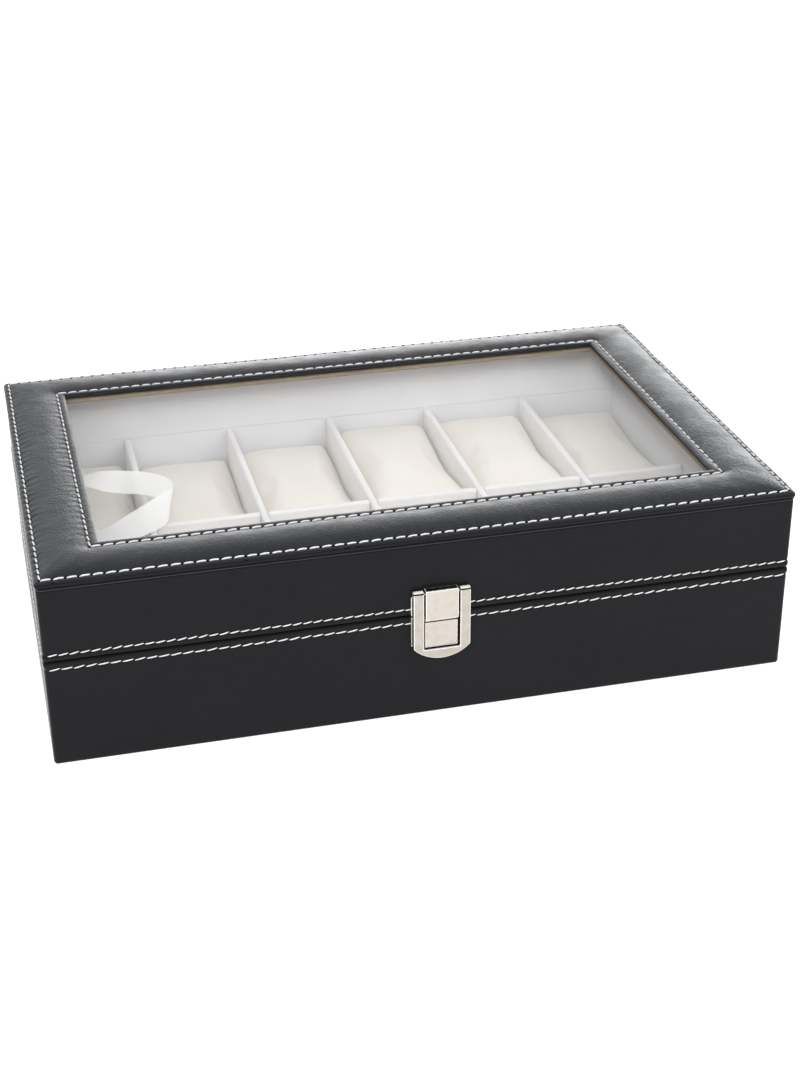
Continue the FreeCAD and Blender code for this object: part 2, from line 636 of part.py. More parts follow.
def build_hinges():
    """Two butt hinges on the back wall, with pins fixed in the base leaves, and their screws."""
    third = "(Size.hinge_length / 3)"
    side_knuckle = f"({third} - Size.knuckle_gap / 2)"
    base_starts = ("-Size.hinge_length / 2", f"{third} / 2 + Size.knuckle_gap / 2")
    base_knuckles = [(start, side_knuckle) for start in base_starts]
    lid_knuckles = [(f"-{third} / 2 + Size.knuckle_gap / 2", f"({third} - Size.knuckle_gap)")]
    running_bore = "Size.hinge_pin + Size.pin_clearance"
    for hinge in SIDES:
        base_name = f"{hinge}_hinge_base_leaf"
        base_leaf = hinge_leaf(hinge, base_name, -1, base_knuckles, "Size.hinge_pin", BASE_LEAF_SEATS[hinge])
        node(base_leaf, base_name)
        lid_name = f"{hinge}_hinge_lid_leaf"
        lid_leaf = hinge_leaf(hinge, lid_name, 1, lid_knuckles, running_bore, LID_LEAF_SEATS[hinge])
        node(lid_leaf, lid_name)
        start = (f"{hinge_middle(hinge)} - Size.hinge_length / 2", HINGE_Y, HINGE_Z)
        pin = rod(f"{hinge}_pin", "Size.hinge_pin", start, "Size.hinge_length", ALONG_X)
        node(pin, f"{hinge}_hinge_pin")
    fasteners("hinge_base_screws", "base_screw", SCREW, all_seats(BASE_LEAF_SEATS), 1)
    fasteners("hinge_lid_screws", "lid_screw", SCREW, all_seats(LID_LEAF_SEATS), 1)


def ribbon_strand(name, y, near_end, low, climb):
    """Straight strand from the ribbon's turn to the left wall, climbing by one expression."""
    strand = doc.addObject("Part::Wedge", name)
    length = f"({near_end} + {ROOM_X} - Size.ribbon_end_gap)"
    sizes = {
        "Xmin": "0",
        "X2min": "0",
        "Xmax": "Size.ribbon_thickness",
        "X2max": "Size.ribbon_thickness",
        "Ymin": "0",
        "Ymax": length,
        "Zmin": "0",
        "Zmax": "Size.ribbon_width",
        "Z2min": climb,
        "Z2max": f"Size.ribbon_width + {climb}",
    }
    for size, expression in sizes.items():
        strand.setExpression(size, expression)
    return place(strand, (near_end, f"{y} - Size.ribbon_thickness / 2", low), TURNED_BACK)


def build_ribbon():
    """White ribbon standing on edge in a loop, from the base lining round to the lid lining."""
    radius = "((Size.ribbon_back - Size.ribbon_front) / 2)"
    turn_x = f"(Size.ribbon_reach - {ROOM_X} - {radius})"
    turn_y = "((Size.ribbon_back + Size.ribbon_front) / 2)"
    low = f"({DIVIDER_TOP} + Size.ribbon_rise)"
    centre = (turn_x, turn_y, low)
    outer_radius = f"{radius} + Size.ribbon_thickness / 2"
    inner_radius = f"{radius} - Size.ribbon_thickness / 2"
    outer = rod("ribbon_outer", outer_radius, centre, "Size.ribbon_width", TURNED_HALF, HALF_TURN)
    inner = rod("ribbon_inner", inner_radius, centre, "Size.ribbon_width", TURNED_HALF, HALF_TURN)
    turn = cut("ribbon_turn", outer, [inner])
    front = ribbon_strand("ribbon_front", "Size.ribbon_front", turn_x, low, "-Size.ribbon_fall")
    back = ribbon_strand("ribbon_back", "Size.ribbon_back", turn_x, low, "Size.ribbon_climb")
    node(fuse("ribbon_loop", [turn, front, back]), "ribbon_stay")


def check(pieces):
    """Stop if any object failed, or any piece is missing or unsound."""
    failed = [item.Label for item in doc.Objects if {"Invalid", "Error"} & set(item.State)]
    unsound = [item.Label for item in pieces if item.Shape.isNull() or not item.Shape.isValid()]
    if failed or unsound:
        raise RuntimeError(f"failed: {failed}, unsound: {unsound}")


def write(pieces):
    """Write each piece's solids to a file of its own."""
    os.makedirs("parts", exist_ok=True)
    for piece in pieces:
        piece.Shape.exportStep(f"parts/{piece.Label}.step")


build_base()
build_dividers()
build_pillows()
build_lid()
build_glazing()
build_padding()
build_latch_plates()
build_flap()
build_hinges()
build_ribbon()
doc.recompute()
check(nodes)
write(nodes)
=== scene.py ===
import json
import logging
import math
from dataclasses import dataclass, field, replace
from enum import Enum
from typing import Callable, Iterable, Sequence

import bmesh
import bpy
from mathutils import Matrix, Vector, noise

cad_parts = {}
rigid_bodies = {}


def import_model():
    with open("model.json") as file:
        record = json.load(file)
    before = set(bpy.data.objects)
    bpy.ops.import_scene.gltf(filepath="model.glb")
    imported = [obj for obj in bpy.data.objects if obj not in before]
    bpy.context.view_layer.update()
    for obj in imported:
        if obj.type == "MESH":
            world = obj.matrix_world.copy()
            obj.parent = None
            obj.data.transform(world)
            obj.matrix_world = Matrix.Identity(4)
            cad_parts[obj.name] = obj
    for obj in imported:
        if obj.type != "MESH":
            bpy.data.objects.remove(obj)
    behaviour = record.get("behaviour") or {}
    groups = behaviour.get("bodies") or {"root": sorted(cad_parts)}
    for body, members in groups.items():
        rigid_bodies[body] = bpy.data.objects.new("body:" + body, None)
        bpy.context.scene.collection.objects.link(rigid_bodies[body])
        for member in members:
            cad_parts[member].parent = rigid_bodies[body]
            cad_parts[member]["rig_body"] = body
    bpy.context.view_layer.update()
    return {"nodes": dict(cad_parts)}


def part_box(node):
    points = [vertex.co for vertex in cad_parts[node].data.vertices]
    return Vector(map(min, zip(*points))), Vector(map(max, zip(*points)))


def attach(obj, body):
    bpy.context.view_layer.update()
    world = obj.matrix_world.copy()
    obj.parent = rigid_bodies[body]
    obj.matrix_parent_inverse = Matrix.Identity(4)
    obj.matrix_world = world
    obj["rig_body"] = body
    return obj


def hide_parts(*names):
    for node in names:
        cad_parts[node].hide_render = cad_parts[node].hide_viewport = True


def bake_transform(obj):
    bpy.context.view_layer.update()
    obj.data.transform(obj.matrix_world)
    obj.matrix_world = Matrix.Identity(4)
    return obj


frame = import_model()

MM = 0.001
WELD = 0.001 * MM
COLUMNS = 6
PLATE_REACH = 6.0 * MM
BLOCK_FACES = ((0, 2, 3, 1), (4, 5, 7, 6), (0, 1, 5, 4), (2, 6, 7, 3), (0, 4, 6, 2), (1, 3, 7, 5))

# Strokes of a brushed metal: a small factor draws the pattern out along that axis
UPRIGHT_STROKES = (1.0, 1.0, 0.06)
LEVEL_STROKES = (0.08, 1.0, 1.0)
NO_STROKES = (1.0, 1.0, 1.0)

# Useful range of the sum of two noises
TWO_NOISES = (0.7, 1.3)

WHITE = (1.0, 1.0, 1.0, 1.0)
UP = Vector((0.0, 0.0, 1.0))

Colour = tuple[float, float, float]
Point = tuple[float, float, float]
Pair = tuple[float, float]
Box = tuple[Vector, Vector]
Socket = bpy.types.NodeSocket
Links = dict[str | int, Socket]

log = logging.getLogger("watch_box")


class Body(str, Enum):
    """CAD bodies that pieces ride on by name."""

    BASE = "base"
    LID = "lid"


class Side(Enum):
    """Walls of the box, counter-clockwise from above; the value counts quarter turns from the front."""

    FRONT = 0
    RIGHT = 1
    BACK = 2
    LEFT = 3

    @property
    def angle(self) -> float:
        """Direction that the wall faces, in radians from the X axis."""
        return math.radians(90.0 * self.value - 90.0)

    @property
    def outward(self) -> Vector:
        """Unit vector that points out of the wall."""
        return Vector((round(math.cos(self.angle)), round(math.sin(self.angle)), 0.0))

    @property
    def along(self) -> Vector:
        """Unit vector along the wall, counter-clockwise."""
        return Vector((-self.outward.y, self.outward.x, 0.0))


class Row(str, Enum):
    """Rows of pillows."""

    FRONT = "front"
    BACK = "back"


# How much higher than its neighbours each pillow has been filled, in millimetres, from left to right
PILLOW_RISES = {
    Row.FRONT: (0.4, -0.8, 0.7, 0.0, -0.4, 0.6),
    Row.BACK: (-0.6, -3.6, -1.0, 4.2, 3.6, 0.0),
}


class Nodes:
    """Node tree, with a short call for each step that the finishes, the seams and the studio share."""

    def __init__(self, tree: bpy.types.NodeTree) -> None:
        """Take hold of a tree."""
        self.tree = tree

    def add(self, kind: str, links: Links | None = None, **settings: object) -> bpy.types.Node:
        """Add a node.

        Args:
            kind: Kind of the node.
            links: Outputs to link to the node, each under the name or number of its input.
            settings: Properties to set on the node.

        Returns:
            The new node.
        """
        node = self.tree.nodes.new(kind)
        for name, value in settings.items():
            setattr(node, name, value)
        for name, source in (links or {}).items():
            self.join(source, node.inputs[name])
        return node

    def join(self, source: Socket, target: Socket) -> None:
        """Link an output to an input."""
        self.tree.links.new(source, target)

    def math(self, operation: str, first: Socket, second: Socket | float) -> Socket:
        """Combine a value with another or with a number."""
        node = self.add("ShaderNodeMath", {0: first}, operation=operation)
        if isinstance(second, (int, float)):
            node.inputs[1].default_value = second
        else:
            self.join(second, node.inputs[1])
        return node.outputs[0]

    def spread(
        self, factor: Socket, low: float, high: float, start: float = 0.3, end: float = 0.7
    ) -> Socket:
        """Map a range of values to another; a noise's useful range is the usual one.

        Args:
            factor: Value to map.
            low: Result at the start of the range.
            high: Result at its end.
            start: Start of the range.
            end: End of the range.

        Returns:
            The mapped value.
        """
        node = self.add("ShaderNodeMapRange", {"Value": factor})
        node.inputs["From Min"].default_value = start
        node.inputs["From Max"].default_value = end
        node.inputs["To Min"].default_value = low
        node.inputs["To Max"].default_value = high
        return node.outputs["Result"]


class Graph(Nodes):
    """Node tree of one material, with a short call for each kind of node that the finishes share."""

    def __init__(self, name: str) -> None:
        """Start a material with its Principled surface and its object coordinates."""
        self.material = bpy.data.materials.new(name)
        self.material.use_nodes = True
        super().__init__(self.material.node_tree)
        self.surface = self.tree.nodes["Principled BSDF"]
        self.place = self.add("ShaderNodeTexCoord").outputs["Object"]

    def feed(self, socket: str, source: Socket) -> None:
        """Link a pattern to one of the surface's sockets."""
        self.join(source, self.surface.inputs[socket])

    def fix(self, **values: object) -> None:
        """Set plain values on the surface's own sockets; an underscore stands for a space."""
        for name, value in values.items():
            self.surface.inputs[name.replace("_", " ")].default_value = value

    def stretched(self, stretch: Point, source: Socket | None = None) -> Socket:
        """Coordinates drawn out along some axes, so that a pattern runs long.

        Args:
            stretch: Factors on X, Y and Z; a small one makes a pattern long that way.
            source: Coordinates to stretch, or the object's own.

        Returns:
            The stretched coordinates.
        """
        node = self.add("ShaderNodeMapping", {"Vector": source or self.place})
        node.inputs["Scale"].default_value = stretch
        return node.outputs["Vector"]

    def noise(self, scale: float, detail: float = 3.0, vector: Socket | None = None) -> Socket:
        """Soft noise with a number of features to the metre."""
        node = self.add("ShaderNodeTexNoise", {"Vector": vector or self.place})
        node.inputs["Scale"].default_value = scale
        node.inputs["Detail"].default_value = detail
        return node.outputs["Fac"]

    def cells(self, scale: float) -> Socket:
        """Smooth cell pattern with a number of cells to the metre."""
        node = self.add("ShaderNodeTexVoronoi", {"Vector": self.place}, feature="SMOOTH_F1")
        node.inputs["Scale"].default_value = scale
        return node.outputs["Distance"]

    def mix(self, factor: Socket, low: Colour | Socket, high: Colour | Socket) -> Socket:
        """Mix two colours, or two patterns of colour, by a factor."""
        node = self.add("ShaderNodeMix", {0: factor}, data_type="RGBA")
        for socket, colour in ((node.inputs[6], low), (node.inputs[7], high)):
            if isinstance(colour, tuple):
                socket.default_value = (*colour, 1.0)
            else:
                self.join(colour, socket)
        return node.outputs[2]

    def bump(self, height: Socket, depth: float, strength: float = 1.0) -> None:
        """Raise the surface by a pattern, as deep as given in metres."""
        node = self.add("ShaderNodeBump", {"Height": height})
        node.inputs["Strength"].default_value = strength
        node.inputs["Distance"].default_value = depth
        self.feed("Normal", node.outputs["Normal"])


@dataclass(frozen=True)
class Leather:
    """Black coated leather with a fine pressed grain."""

    name: str
    dark: Colour
    light: Colour
    roughness: Pair
    shine: float
    grain: float
    depth: float
    lacquer: float = 0.0

    def material(self) -> bpy.types.Material:
        """Build the material."""
        graph = Graph(self.name)
        graph.feed("Base Color", graph.mix(graph.noise(28.0), self.dark, self.light))
        graph.feed("Roughness", graph.spread(graph.noise(170.0), *self.roughness))
        graph.fix(Specular_IOR_Level=self.shine, Specular_Tint=(0.9, 0.94, 1.0, 1.0))
        graph.fix(Coat_Weight=self.lacquer, Coat_IOR=1.22, Coat_Roughness=0.12)
        pebbles = graph.cells(self.grain)
        creases = graph.noise(0.45 * self.grain)
        graph.bump(graph.math("ADD", pebbles, creases), self.depth)
        return graph.material


@dataclass(frozen=True)
class Velvet:
    """Short-pile velvet, with brushed patches in its nap."""

    name: str
    shade: Colour
    colour: Colour
    sheen: float

    def material(self) -> bpy.types.Material:
        """Build the material."""
        graph = Graph(self.name)
        brushed = graph.noise(45.0, vector=graph.stretched((1.0, 0.6, 1.6)))
        nap = graph.noise(1900.0, detail=2.0)
        patches = graph.mix(graph.spread(brushed, 0.0, 1.0), self.shade, self.colour)
        graph.feed("Base Color", graph.mix(graph.spread(nap, 0.12, 0.0), patches, self.shade))
        graph.feed("Roughness", graph.spread(nap, 0.86, 0.98))
        graph.fix(Sheen_Weight=self.sheen, Sheen_Roughness=0.45, Specular_IOR_Level=0.15)
        graph.bump(graph.math("ADD", nap, graph.noise(420.0)), 0.12 * MM, 0.7)
        return graph.material


@dataclass(frozen=True)
class Metal:
    """Plated metal with a faint brushed grain and cloudy handling marks."""

    name: str
    colour: Colour
    worn: Colour
    roughness: Pair
    brushing: Point
    metallic: float = 1.0

    def material(self) -> bpy.types.Material:
        """Build the material."""
        graph = Graph(self.name)
        strokes = graph.noise(2600.0, vector=graph.stretched(self.brushing))
        clouds = graph.noise(260.0)
        graph.feed("Base Color", graph.mix(graph.spread(clouds, 0.0, 1.0), self.colour, self.worn))
        wear = graph.math("ADD", strokes, clouds)
        graph.feed("Roughness", graph.spread(wear, *self.roughness, *TWO_NOISES))
        graph.fix(Metallic=self.metallic)
        graph.bump(strokes, 0.004 * MM)
        return graph.material


@dataclass(frozen=True)
class Thread:
    """White waxed sewing thread with fine twisted plies."""

    name: str
    colour: Colour
    shade: Colour

    def material(self) -> bpy.types.Material:
        """Build the material."""
        graph = Graph(self.name)
        plies = graph.noise(3200.0, vector=graph.stretched((1.0, 1.0, 0.4)))
        graph.feed("Base Color", graph.mix(graph.spread(plies, 0.0, 1.0), self.colour, self.shade))
        graph.feed("Roughness", graph.spread(plies, 0.5, 0.7))
        graph.fix(Sheen_Weight=0.15)
        graph.bump(plies, 0.08 * MM)
        return graph.material


@dataclass(frozen=True)
class Fibreboard:
    """Raw fibreboard: pressed tan fibres in thin layers."""

    name: str
    colour: Colour
    fleck: Colour
    painted_shadow: Colour
    painted_shadow_heights: Pair

    def material(self) -> bpy.types.Material:
        """Build the material, with a painted shadow under the padded roll that darkens the board
        between two heights and fully above them.
        """
        graph = Graph(self.name)
        layers = graph.noise(700.0, vector=graph.stretched((0.12, 0.12, 2.5)))
        fibres = graph.noise(1500.0, vector=graph.stretched((0.3, 0.3, 1.0)))
        mottled = graph.math("ADD", layers, fibres)
        raw = graph.mix(graph.spread(mottled, 0.0, 1.0, *TWO_NOISES), self.colour, self.fleck)
        # Painted shadow: near-black towards the board's top edge, where the padded roll overhangs it
        height = graph.add("ShaderNodeSeparateXYZ", {0: graph.place}).outputs["Z"]
        painted_shadow_share = graph.spread(height, 0.0, 1.0, *self.painted_shadow_heights)
        graph.feed("Base Color", graph.mix(painted_shadow_share, raw, self.painted_shadow))
        graph.feed("Roughness", graph.spread(fibres, 0.8, 0.95))
        graph.bump(mottled, 0.15 * MM)
        return graph.material


@dataclass(frozen=True)
class Grained:
    """Plain matt finish with a soft mottle, for the underside paper and the near-black marks that paint
    the shade in the needle holes.
    """

    name: str
    colour: Colour
    mottle: Colour
    scale: float
    depth: float

    def material(self) -> bpy.types.Material:
        """Build the material."""
        graph = Graph(self.name)
        mottle = graph.noise(self.scale)
        graph.feed("Base Color", graph.mix(graph.spread(mottle, 0.0, 1.0), self.colour, self.mottle))
        graph.feed("Roughness", graph.spread(mottle, 0.75, 0.95))
        graph.fix(Specular_IOR_Level=0.25)
        graph.bump(mottle, self.depth)
        return graph.material


@dataclass(frozen=True)
class Satin:
    """Thin white satin ribbon, ribbed across, that lets a little of what is behind it show."""

    name: str
    colour: Colour
    shade: Colour
    cover: float
    ribs: float

    def material(self) -> bpy.types.Material:
        """Build the material."""
        graph = Graph(self.name)
        layout = graph.add("ShaderNodeUVMap", uv_map="weave").outputs["UV"]
        ribs = graph.noise(self.ribs, detail=1.0, vector=graph.stretched((1.0, 0.02, 1.0), layout))
        clouds = graph.noise(60.0)
        graph.feed("Base Color", graph.mix(graph.spread(clouds, 0.0, 1.0), self.colour, self.shade))
        graph.feed("Roughness", graph.spread(ribs, 0.3, 0.42))
        graph.fix(Alpha=self.cover, Sheen_Weight=0.1, Specular_IOR_Level=0.5)
        graph.bump(ribs, 0.03 * MM, 0.6)
        return graph.material


@dataclass(frozen=True)
class WindowGlass:
    """Clear pane with a soft mirror that grows the flatter the pane is seen."""

    name: str
    tint: Colour
    head_on: float
    growth: float
    haze: Pair

    def material(self) -> bpy.types.Material:
        """Build the material: a clear film under a mirror whose share follows the facing angle."""
        graph = Graph(self.name)
        graph.tree.nodes.remove(graph.surface)
        facing = graph.add("ShaderNodeLayerWeight").outputs["Facing"]
        rising = graph.math("POWER", facing, self.growth)
        share = graph.spread(rising, self.head_on, 1.0, 0.0, 1.0)
        clear = graph.add("ShaderNodeBsdfTransparent")
        clear.inputs["Color"].default_value = (*self.tint, 1.0)
        wipes = graph.noise(30.0, vector=graph.stretched((1.0, 0.3, 1.0)))
        mirror = graph.add("ShaderNodeBsdfAnisotropic", {"Roughness": graph.spread(wipes, *self.haze)})
        both = graph.add("ShaderNodeMixShader", {0: share, 1: clear.outputs[0], 2: mirror.outputs[0]})
        graph.join(both.outputs[0], graph.tree.nodes["Material Output"].inputs["Surface"])
        return graph.material


class Finish(Enum):
    """Finishes of the box, each built once on first use."""

    WALL_LEATHER = Leather(
        name="black_wall_leather",
        dark=(0.006, 0.006, 0.0065),
        light=(0.009, 0.009, 0.010),
        roughness=(0.5, 0.62),
        shine=0.1,
        grain=1700.0,
        depth=0.012 * MM,
        lacquer=0.42,
    )
    PADDED_LEATHER = Leather(
        name="black_padded_leather",
        dark=(0.010, 0.0105, 0.0125),
        light=(0.016, 0.0165, 0.0195),
        roughness=(0.36, 0.48),
        shine=0.7,
        grain=1500.0,
        depth=0.12 * MM,
    )
    LINING = Velvet("grey_lining_velvet", (0.69, 0.687, 0.703), (0.75, 0.747, 0.763), 0.2)
    DIVIDER = Velvet("pale_divider_velvet", (0.83, 0.812, 0.798), (0.89, 0.872, 0.858), 0.2)
    PILLOW = Velvet("cream_pillow_velvet", (0.83, 0.776, 0.7), (0.87, 0.82, 0.755), 0.2)
    NICKEL = Metal(
        name="plated_nickel",
        colour=(0.6, 0.55, 0.495),
        worn=(0.55, 0.5, 0.445),
        roughness=(0.2, 0.32),
        brushing=UPRIGHT_STROKES,
    )
    # Darker copy of the plated nickel for the flap: painted shade
    FLAP_NICKEL = Metal(
        name="brushed_nickel",
        colour=(0.53, 0.485, 0.43),
        worn=(0.47, 0.425, 0.37),
        roughness=(0.24, 0.36),
        brushing=UPRIGHT_STROKES,
    )
    # Paler plating on the latch's rounded edges and on the flap's ears: a painted highlight
    BRIGHT = Metal(
        name="rubbed_nickel",
        colour=(0.93, 0.9, 0.86),
        worn=(0.88, 0.85, 0.8),
        roughness=(0.2, 0.3),
        brushing=UPRIGHT_STROKES,
        metallic=0.3,
    )
    STEEL = Metal(
        name="plated_steel",
        colour=(0.62, 0.60, 0.57),
        worn=(0.52, 0.51, 0.49),
        roughness=(0.26, 0.4),
        brushing=LEVEL_STROKES,
    )
    # Near-black plating: painted shade in the latch's recesses and in the grooves cut into the latch
    # and the screw heads
    TARNISH = Metal(
        name="tarnished_nickel",
        colour=(0.045, 0.038, 0.03),
        worn=(0.03, 0.025, 0.02),
        roughness=(0.5, 0.7),
        brushing=NO_STROKES,
    )
    THREAD = Thread("white_thread", (0.76, 0.755, 0.745), (0.58, 0.575, 0.565))
    FIBREBOARD = Fibreboard(
        name="raw_fibreboard",
        colour=(0.27, 0.225, 0.16),
        fleck=(0.185, 0.15, 0.105),
        # Near-black painted shadow at the top of the board, under the padded roll
        painted_shadow=(0.02, 0.017, 0.013),
        painted_shadow_heights=(77.4 * MM, 78.4 * MM),
    )
    PAPER = Grained("black_paper", (0.012, 0.012, 0.013), (0.02, 0.02, 0.021), 900.0, 0.05 * MM)
    # Near-black marks at the needle holes: painted shade
    HOLE = Grained("needle_hole", (0.002, 0.002, 0.002), (0.003, 0.003, 0.003), 500.0, 0.02 * MM)
    RIBBON = Satin("white_satin", (0.99, 0.982, 0.965), (0.965, 0.957, 0.94), 0.8, 900.0)
    GLASS = WindowGlass(
        name="clear_glass", tint=(1.0, 1.0, 1.0), head_on=0.04, growth=4.6, haze=(0.324, 0.36)
    )

    @property
    def material(self) -> bpy.types.Material:
        """The finish's material."""
        return bpy.data.materials.get(self.value.name) or self.value.material()


def new_piece(
    name: str, points: Sequence[Vector], faces: Sequence[Sequence[int]], finish: Finish
) -> bpy.types.Object:
    """Make a mesh piece at the origin, with its place in its mesh.

    Args:
        name: Name of the piece.
        points: Corners, in metres.
        faces: Corner numbers of each face.
        finish: Finish of the whole piece.

    Returns:
        The new object, shaded smooth.
    """
    mesh = bpy.data.meshes.new(name)
    mesh.from_pydata([tuple(point) for point in points], [], faces)
    mesh.materials.append(finish.material)
    mesh.shade_smooth()
    piece = bpy.data.objects.new(name, mesh)
    bpy.context.scene.collection.objects.link(piece)
    return piece


def flattened(piece: bpy.types.Object) -> bpy.types.Object:
    """Turn a piece's modifiers into plain mesh and remove them."""
    graph = bpy.context.evaluated_depsgraph_get()
    mesh = bpy.data.meshes.new_from_object(piece.evaluated_get(graph))
    piece.modifiers.clear()
    piece.data = mesh
    return piece


def settle(
    piece: bpy.types.Object, body: str, replaces: Iterable[str] = ()
) -> bpy.types.Object:
    """Put a finished piece on its body and hide the CAD nodes that it stands for.

    Args:
        piece: The finished piece.
        body: Body that the piece rides on.
        replaces: CAD nodes that the piece stands for.

    Returns:
        The same piece.
    """
    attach(piece, body)
    nodes = tuple(replaces)
    if nodes:
        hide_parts(*nodes)
    log.info("%s rides on %s with %d faces", piece.name, body, len(piece.data.polygons))
    return piece


def crease_tool(middle: Vector, size: Vector) -> bpy.types.Object:
    """Block with the near-black finish that paints shade into a groove, to cut with."""
    shifts = [Vector((x, y, z)) for z in (-0.5, 0.5) for y in (-0.5, 0.5) for x in (-0.5, 0.5)]
    corners = [middle + shift * size for shift in shifts]
    return new_piece("crease", corners, BLOCK_FACES, Finish.TARNISH)


def softened(
    node: str,
    name: str,
    finish: Finish,
    width: float,
    segments: int,
    creases: Sequence[Box] = (),
    edge_highlight: Finish | None = None,
    cuts: Sequence[float] = (),
) -> bpy.types.Object:
    """Copy a CAD piece with its edges rounded.

    Args:
        node: CAD node to copy.
        name: Name of the new piece.
        finish: Finish of the new piece.
        width: Width of the rounding, in metres.
        segments: Steps in the rounding.
        creases: Middle and size of each dark groove to press into the piece.
        edge_highlight: Finish of the rounding itself, a paler plating that paints a highlight along the
            edges.
        cuts: Places along X at which to split faces, so that their parts can differ in finish.

    Returns:
        The rounded copy, as plain mesh.
    """
    work = bmesh.new()
    work.from_mesh(frame["nodes"][node].data)
    bmesh.ops.remove_doubles(work, verts=work.verts, dist=WELD)
    bmesh.ops.dissolve_limit(work, angle_limit=math.radians(1.0), verts=work.verts, edges=work.edges)
    for place in cuts:
        every = [*work.verts, *work.edges, *work.faces]
        bmesh.ops.bisect_plane(work, geom=every, plane_co=(place, 0.0, 0.0), plane_no=(1.0, 0.0, 0.0))
    piece = new_piece(name, [], [], finish)
    work.to_mesh(piece.data)
    work.free()
    piece.data.shade_smooth()
    bevel = piece.modifiers.new("edges", "BEVEL")
    bevel.width = width
    bevel.segments = segments
    bevel.use_clamp_overlap = False
    bevel.limit_method = "ANGLE"
    bevel.angle_limit = math.radians(30.0)
    # The rounding takes the paler finish, a painted highlight along the edges
    if edge_highlight is not None:
        piece.data.materials.append(edge_highlight.material)
        bevel.material = 1
    flattened(piece)
    low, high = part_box(node)
    for vert in piece.data.vertices:
        vert.co = [min(max(vert.co[i], low[i]), high[i]) for i in range(3)]
    for middle, size in creases:
        tool = crease_tool(middle, size)
        groove = piece.modifiers.new("groove", "BOOLEAN")
        groove.object = tool
        groove.operation = "DIFFERENCE"
        groove.material_mode = "TRANSFER"
        flattened(piece)
        bpy.data.objects.remove(tool)
    normals = piece.modifiers.new("flats", "WEIGHTED_NORMAL")
    normals.keep_sharp = True
    return flattened(piece)


def dress(nodes: Iterable[str], finish: Finish) -> None:
    """Give CAD nodes that stay as they are a better finish."""
    for node in nodes:
        for slot in frame["nodes"][node].material_slots:
            slot.material = finish.material


def body_of(node: str) -> str:
    """Name of the body that a CAD node rides on."""
    return frame["nodes"][node]["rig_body"]


def islands(node: str) -> list[Box]:
    """Boxes of the separate solids in a CAD node.

    Args:
        node: CAD node that groups several like solids.

    Returns:
        Lowest and highest corner of each solid, from left to right.
    """
    work = bmesh.new()
    work.from_mesh(frame["nodes"][node].data)
    bmesh.ops.remove_doubles(work, verts=work.verts, dist=WELD)
    unseen = set(work.verts)
    boxes = []
    while unseen:
        reached = {unseen.pop()}
        edge = list(reached)
        while edge:
            vert = edge.pop()
            near = {link.other_vert(vert) for link in vert.link_edges} - reached
            reached |= near
            edge.extend(near)
        unseen -= reached
        corners = [tuple(vert.co) for vert in reached]
        boxes.append((Vector(map(min, zip(*corners))), Vector(map(max, zip(*corners)))))
    work.free()
    return sorted(boxes, key=lambda box: box[0].x)


@dataclass(frozen=True)
class Column:
    """One place on the way round the box: on a wall's straight run, or on the corner after it."""

    side: Side
    share: float
    turn: float | None
    travel: float

    @property
    def outward(self) -> Vector:
        """Unit vector out of the box here."""
        if self.turn is None:
            return self.side.outward
        angle = self.side.angle + self.turn
        return Vector((math.cos(angle), math.sin(angle), 0.0))


@dataclass(frozen=True)
class RingPath:
    """Way round a rectangle with rounded corners, counter-clockwise from the front left corner."""

    half_x: float
    half_y: float
    step: float
    corner_steps: int = 6

    def halves(self, side: Side) -> Pair:
        """Half sizes of the rectangle out of a wall and along it."""
        return (self.half_y, self.half_x) if side.value % 2 == 0 else (self.half_x, self.half_y)

    def columns(self) -> list[Column]:
        """Places round the ring, a step apart on the walls."""
        found = []
        travel = 0.0
        for side in Side:
            run = 2.0 * self.halves(side)[1]
            count = max(2, round(run / self.step))
            for i in range(count + 1):
                found.append(Column(side, i / count, None, travel + run * i / count))
            travel += run
            for i in range(1, self.corner_steps):
                found.append(Column(side, 1.0, math.radians(90.0) * i / self.corner_steps, travel))
        return found

    def point(self, column: Column, inset: float, radius: float) -> Vector:
        """Place of a column on the ring that lies inside the outermost one by an inset.

        Args:
            column: Place on the way round.
            inset: Distance inside the outermost ring.
            radius: Corner radius of this ring.

        Returns:
            The point, at height zero.
        """
        out, run = self.halves(column.side)
        outward, along = column.side.outward, column.side.along
        reach = run - inset - radius
        if column.turn is None:
            return outward * (out - inset) + along * reach * (2.0 * column.share - 1.0)
        centre = outward * (out - inset - radius) + along * reach
        return centre + column.outward * radius

    def from_corner(self, column: Column, inset: float) -> float:
        """Distance along the wall from a column to the mitre at its nearer corner."""
        if column.turn is not None:
            return 0.0
        run = self.halves(column.side)[1] - inset
        return run * (1.0 - abs(2.0 * column.share - 1.0))


Profile = Sequence[Pair]
Round = Callable[[float, float], float]
Swell = Callable[[Column, float, float], float]


def lofted_ring(
    name: str, path: RingPath, profile: Profile, radius: Round, swell: Swell, finish: Finish
) -> bpy.types.Object:
    """Carry a closed cross-section round the box.

    Args:
        name: Name of the piece.
        path: Way round the box.
        profile: Closed cross-section as inset and height, up the outside, over and back underneath.
        radius: Corner radius at an inset and a height.
        swell: Height to add along the surface's normal, from the column, the inset and the height.
        finish: Finish of the piece.

    Returns:
        The closed ring.
    """
    columns = path.columns()
    rows = len(profile)
    points = []
    for column in columns:
        for j, (inset, height) in enumerate(profile):
            before, after = profile[j - 1], profile[(j + 1) % rows]
            run, climb = after[0] - before[0], after[1] - before[1]
            length = math.hypot(run, climb) or 1.0
            rise = swell(column, inset, height)
            base = path.point(column, inset, radius(inset, height))
            side = column.outward * (climb / length * rise)
            points.append(base + side + Vector((0.0, 0.0, height + run / length * rise)))
    faces = []
    for i in range(len(columns)):
        k = (i + 1) % len(columns)
        for j in range(rows):
            m = (j + 1) % rows
            faces.append((i * rows + j, k * rows + j, k * rows + m, i * rows + m))
    return new_piece(name, points, faces, finish)


def no_swell(column: Column, inset: float, height: float) -> float:
    """Height to add where a ring is plain: none."""
    return 0.0


